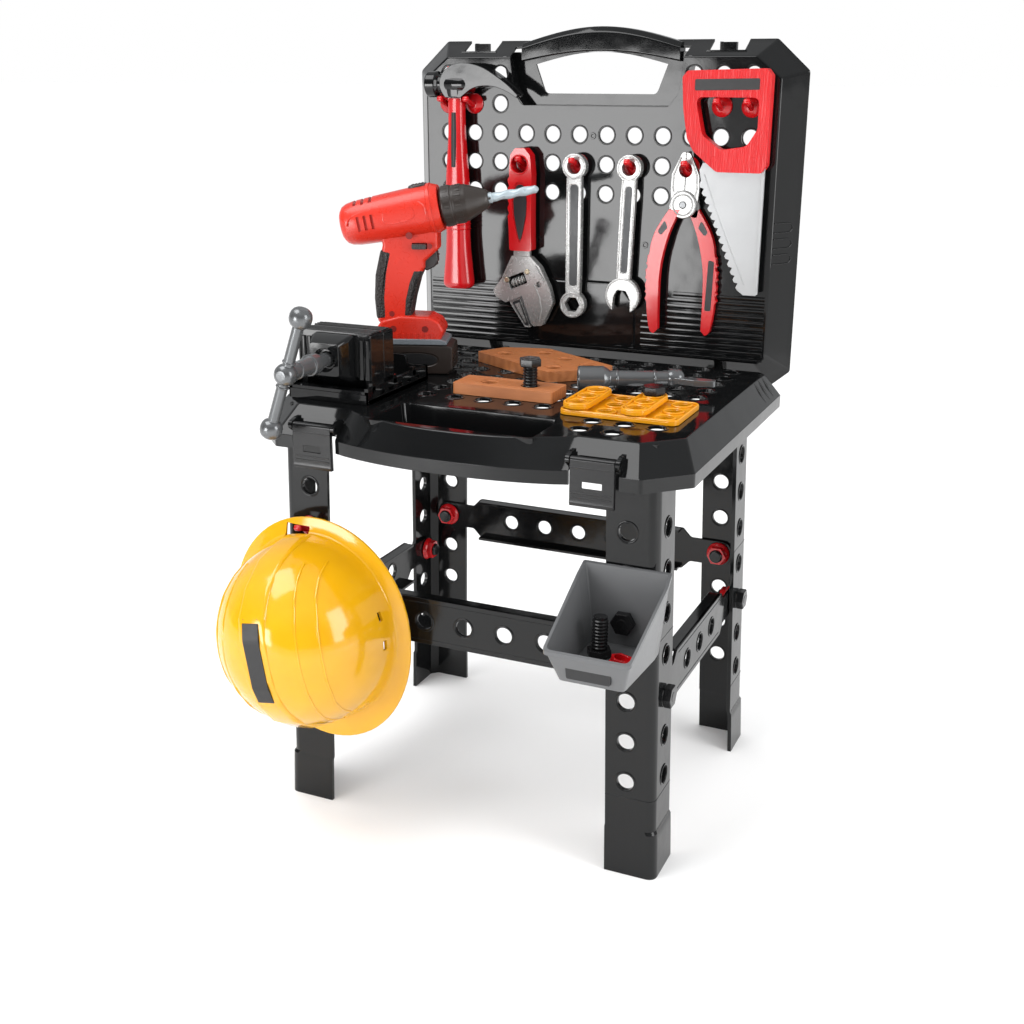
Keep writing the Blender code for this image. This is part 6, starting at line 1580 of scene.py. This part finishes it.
def rim_bead(bm):
    pts = [Vector(p) for p in hring(119.0, 103.0, 95.0, 1.5)]
    loops = []
    n = len(pts)
    centre = Vector(hp(0, 0, 1.5))
    for i, p in enumerate(pts):
        out_ = (p - centre).normalized()
        nrm = Vector((0, -1, 0))
        loops.append([p + out_ * (1.2 * math.cos(q)) + nrm * (1.2 * math.sin(q)) for q in [2 * math.pi * k / 8 for k in range(8)]])
    made = [[bm.verts.new(v_) for v_ in loop] for loop in loops]
    for i in range(n):
        a, b = made[i], made[(i + 1) % n]
        for k in range(8):
            bm.faces.new((a[k], a[(k + 1) % 8], b[(k + 1) % 8], b[k]))


def chevrons():
    """The pointed ends of the dark strip: plain chevrons beyond it, front and rear."""
    out = []
    for sgn in (-1, 1):
        for k in range(2):
            def tile(bm, sgn=sgn, k=k):
                u0 = sgn * (41 + 6.5 * k)
                rows = []
                for dh in (-1.2, 0.0):
                    pts = [(u0, -8), (u0 + sgn * 3.2, -8), (u0 + sgn * 6.2, 0), (u0 + sgn * 3.2, 8), (u0, 8), (u0 + sgn * 3.0, 0)]
                    rows.append([hp(u, w, min(110.95, crown_height(u) + 3.0 + dh)) for u, w in pts])
                loft(bm, rows if sgn > 0 else [list(reversed(r_)) for r_ in rows])
            out.append((tile, (), "label"))
    return out


def crown_height(u):
    pts = [(-88.4, 12), (-87.4, 30), (-80.4, 60), (-63.4, 86), (-40.6, 103), (-16.8, 110), (0, 111.0), (15.8, 110), (39.6, 103), (63.4, 86), (81.4, 60), (90.4, 30)]
    for (a, ha), (b, hb) in zip(pts, pts[1:]):
        if a <= u <= b:
            return ha + (hb - ha) * (u - a) / (b - a)
    return 12.0


def crown_strip(bm):
    """A bare dark strip laid along the crown band."""
    rings = []
    for k in range(25):
        u = -38 + 76 * k / 24
        h = min(110.98, crown_height(u) + 2.9 if abs(u) > 17 else 110.98)
        rings.append([hp(u, -8.5, h), hp(u, 8.5, h), hp(u, 8.5, h - 2.2), hp(u, -8.5, h - 2.2)])
    loft(bm, rings)


piece("helmet_moulding", [
    (lambda bm: loft(bm, [hring(*r_) for r_ in shell]), [[lambda bm: loft(bm, [hring(*r_) for r_ in hollow])], [under], [hook_slot], vslots]),
    (crown_ridge, [[lambda bm: loft(bm, [hring(*r_) for r_ in hollow])]]),
    rim_bead, side_rib(40, 0), side_rib(-40, 0), side_rib(56, 0, 0.86), side_rib(-56, 0, 0.86),
    (crown_strip, (), "label"), *chevrons(),
], "yellow", "helmet", ["helmet"], bevel=0.4, segments=2, angle=40)


# ---- floor, camera, light --------------------------------------------------------------
def floor_material():
    m = plastic("studio_floor", (0.93, 0.93, 0.93), 0.6, dark=(0.965, 0.965, 0.967), grain=0.1, bump=0.0, blotch=3.0, spec=0.0)
    return m


half = 60.0
bpy.ops.mesh.primitive_plane_add(size=2 * half, location=(0, 0, 0))
floor = bpy.context.active_object
floor.name = "studio_floor"
floor.data.materials.append(floor_material())


def area_light(name, at, target, sx, sy, radiance, colour=(1, 1, 1)):
    data = bpy.data.lights.new(name, "AREA")
    data.shape = "RECTANGLE"
    data.size, data.size_y = sx, sy
    data.energy = radiance * math.pi * sx * sy
    data.color = colour
    obj = bpy.data.objects.new(name, data)
    bpy.context.scene.collection.objects.link(obj)
    obj.location = at
    obj.rotation_euler = (Vector(target) - Vector(at)).to_track_quat("-Z", "Y").to_euler()
    return obj


def bench(x, y, z):
    return Vector(((x + SHIFT[0]) * MM, (y + SHIFT[1]) * MM, z * MM))


area_light("key_left", bench(-800, -1860, 430), bench(-60, 0, 550), 0.74, 0.62, 10.0)
area_light("right_box", bench(1900, -500, 900), bench(0, 0, 500), 0.9, 1.3, 5.5)
area_light("top_box", bench(-640, -760, 1950), bench(0, -250, 400), 1.2, 1.0, 4.6)

world = bpy.data.worlds.new("studio")
bpy.context.scene.world = world
world.use_nodes = True
wt = world.node_tree
for node_ in list(wt.nodes):
    wt.nodes.remove(node_)
out = wt.nodes.new("ShaderNodeOutputWorld")
bg_cam = wt.nodes.new("ShaderNodeBackground")
bg_cam.inputs["Color"].default_value = (1, 1, 1, 1)
bg_cam.inputs["Strength"].default_value = 1.0
bg_ref = wt.nodes.new("ShaderNodeBackground")
co = wt.nodes.new("ShaderNodeTexCoord")
sep = wt.nodes.new("ShaderNodeSeparateXYZ")
wt.links.new(co.outputs["Generated"], sep.inputs[0])
# brighter behind and above, dark in front
back = wt.nodes.new("ShaderNodeMapRange")
back.interpolation_type = "SMOOTHSTEP"
back.inputs["From Min"].default_value, back.inputs["From Max"].default_value = -0.45, 0.25
back.inputs["To Min"].default_value, back.inputs["To Max"].default_value = 0.0, 1.0
wt.links.new(sep.outputs["Y"], back.inputs["Value"])
up = wt.nodes.new("ShaderNodeMapRange")
up.interpolation_type = "SMOOTHSTEP"
up.inputs["From Min"].default_value, up.inputs["From Max"].default_value = 0.25, 0.8
wt.links.new(sep.outputs["Z"], up.inputs["Value"])
mx = wt.nodes.new("ShaderNodeMath")
mx.operation = "MAXIMUM"
wt.links.new(back.outputs["Result"], mx.inputs[0])
wt.links.new(up.outputs["Result"], mx.inputs[1])
st = wt.nodes.new("ShaderNodeMapRange")
st.inputs["To Min"].default_value, st.inputs["To Max"].default_value = 0.05, 0.55
wt.links.new(mx.outputs[0], st.inputs["Value"])
bg_ref.inputs["Color"].default_value = (0.97, 0.985, 1.0, 1)
wt.links.new(st.outputs["Result"], bg_ref.inputs["Strength"])
lp = wt.nodes.new("ShaderNodeLightPath")
mix = wt.nodes.new("ShaderNodeMixShader")
wt.links.new(lp.outputs["Is Camera Ray"], mix.inputs["Fac"])
bg_soft = wt.nodes.new("ShaderNodeBackground")
bg_soft.inputs["Color"].default_value = (1, 1, 1, 1)
bg_soft.inputs["Strength"].default_value = 1.04
gloss = wt.nodes.new("ShaderNodeMixShader")
wt.links.new(lp.outputs["Is Glossy Ray"], gloss.inputs["Fac"])
wt.links.new(bg_soft.outputs[0], gloss.inputs[1])
wt.links.new(bg_ref.outputs[0], gloss.inputs[2])
wt.links.new(gloss.outputs[0], mix.inputs[1])
wt.links.new(bg_cam.outputs[0], mix.inputs[2])
wt.links.new(mix.outputs[0], out.inputs["Surface"])

cam_data = bpy.data.cameras.new("camera")
cam = bpy.data.objects.new("camera", cam_data)
bpy.context.scene.collection.objects.link(cam)
cam_data.lens = 45.91
cam_data.sensor_width = 36
cam_data.clip_end = 300
cam_data.dof.use_dof = False
back_v = Vector((0.3886, -0.8636, 0.3213)).normalized()
right_v = Vector((0.9119, 0.4104, 0)).normalized()
up_v = back_v.cross(right_v)
rot = Matrix((right_v, up_v, back_v)).transposed()
cam.matrix_world = Matrix.Translation(bench(497.7, -1309.5, 705.3)) @ rot.to_4x4()
bpy.context.scene.camera = cam
bpy.context.scene.view_settings.view_transform = "Standard"
bpy.context.scene.view_settings.look = "None"
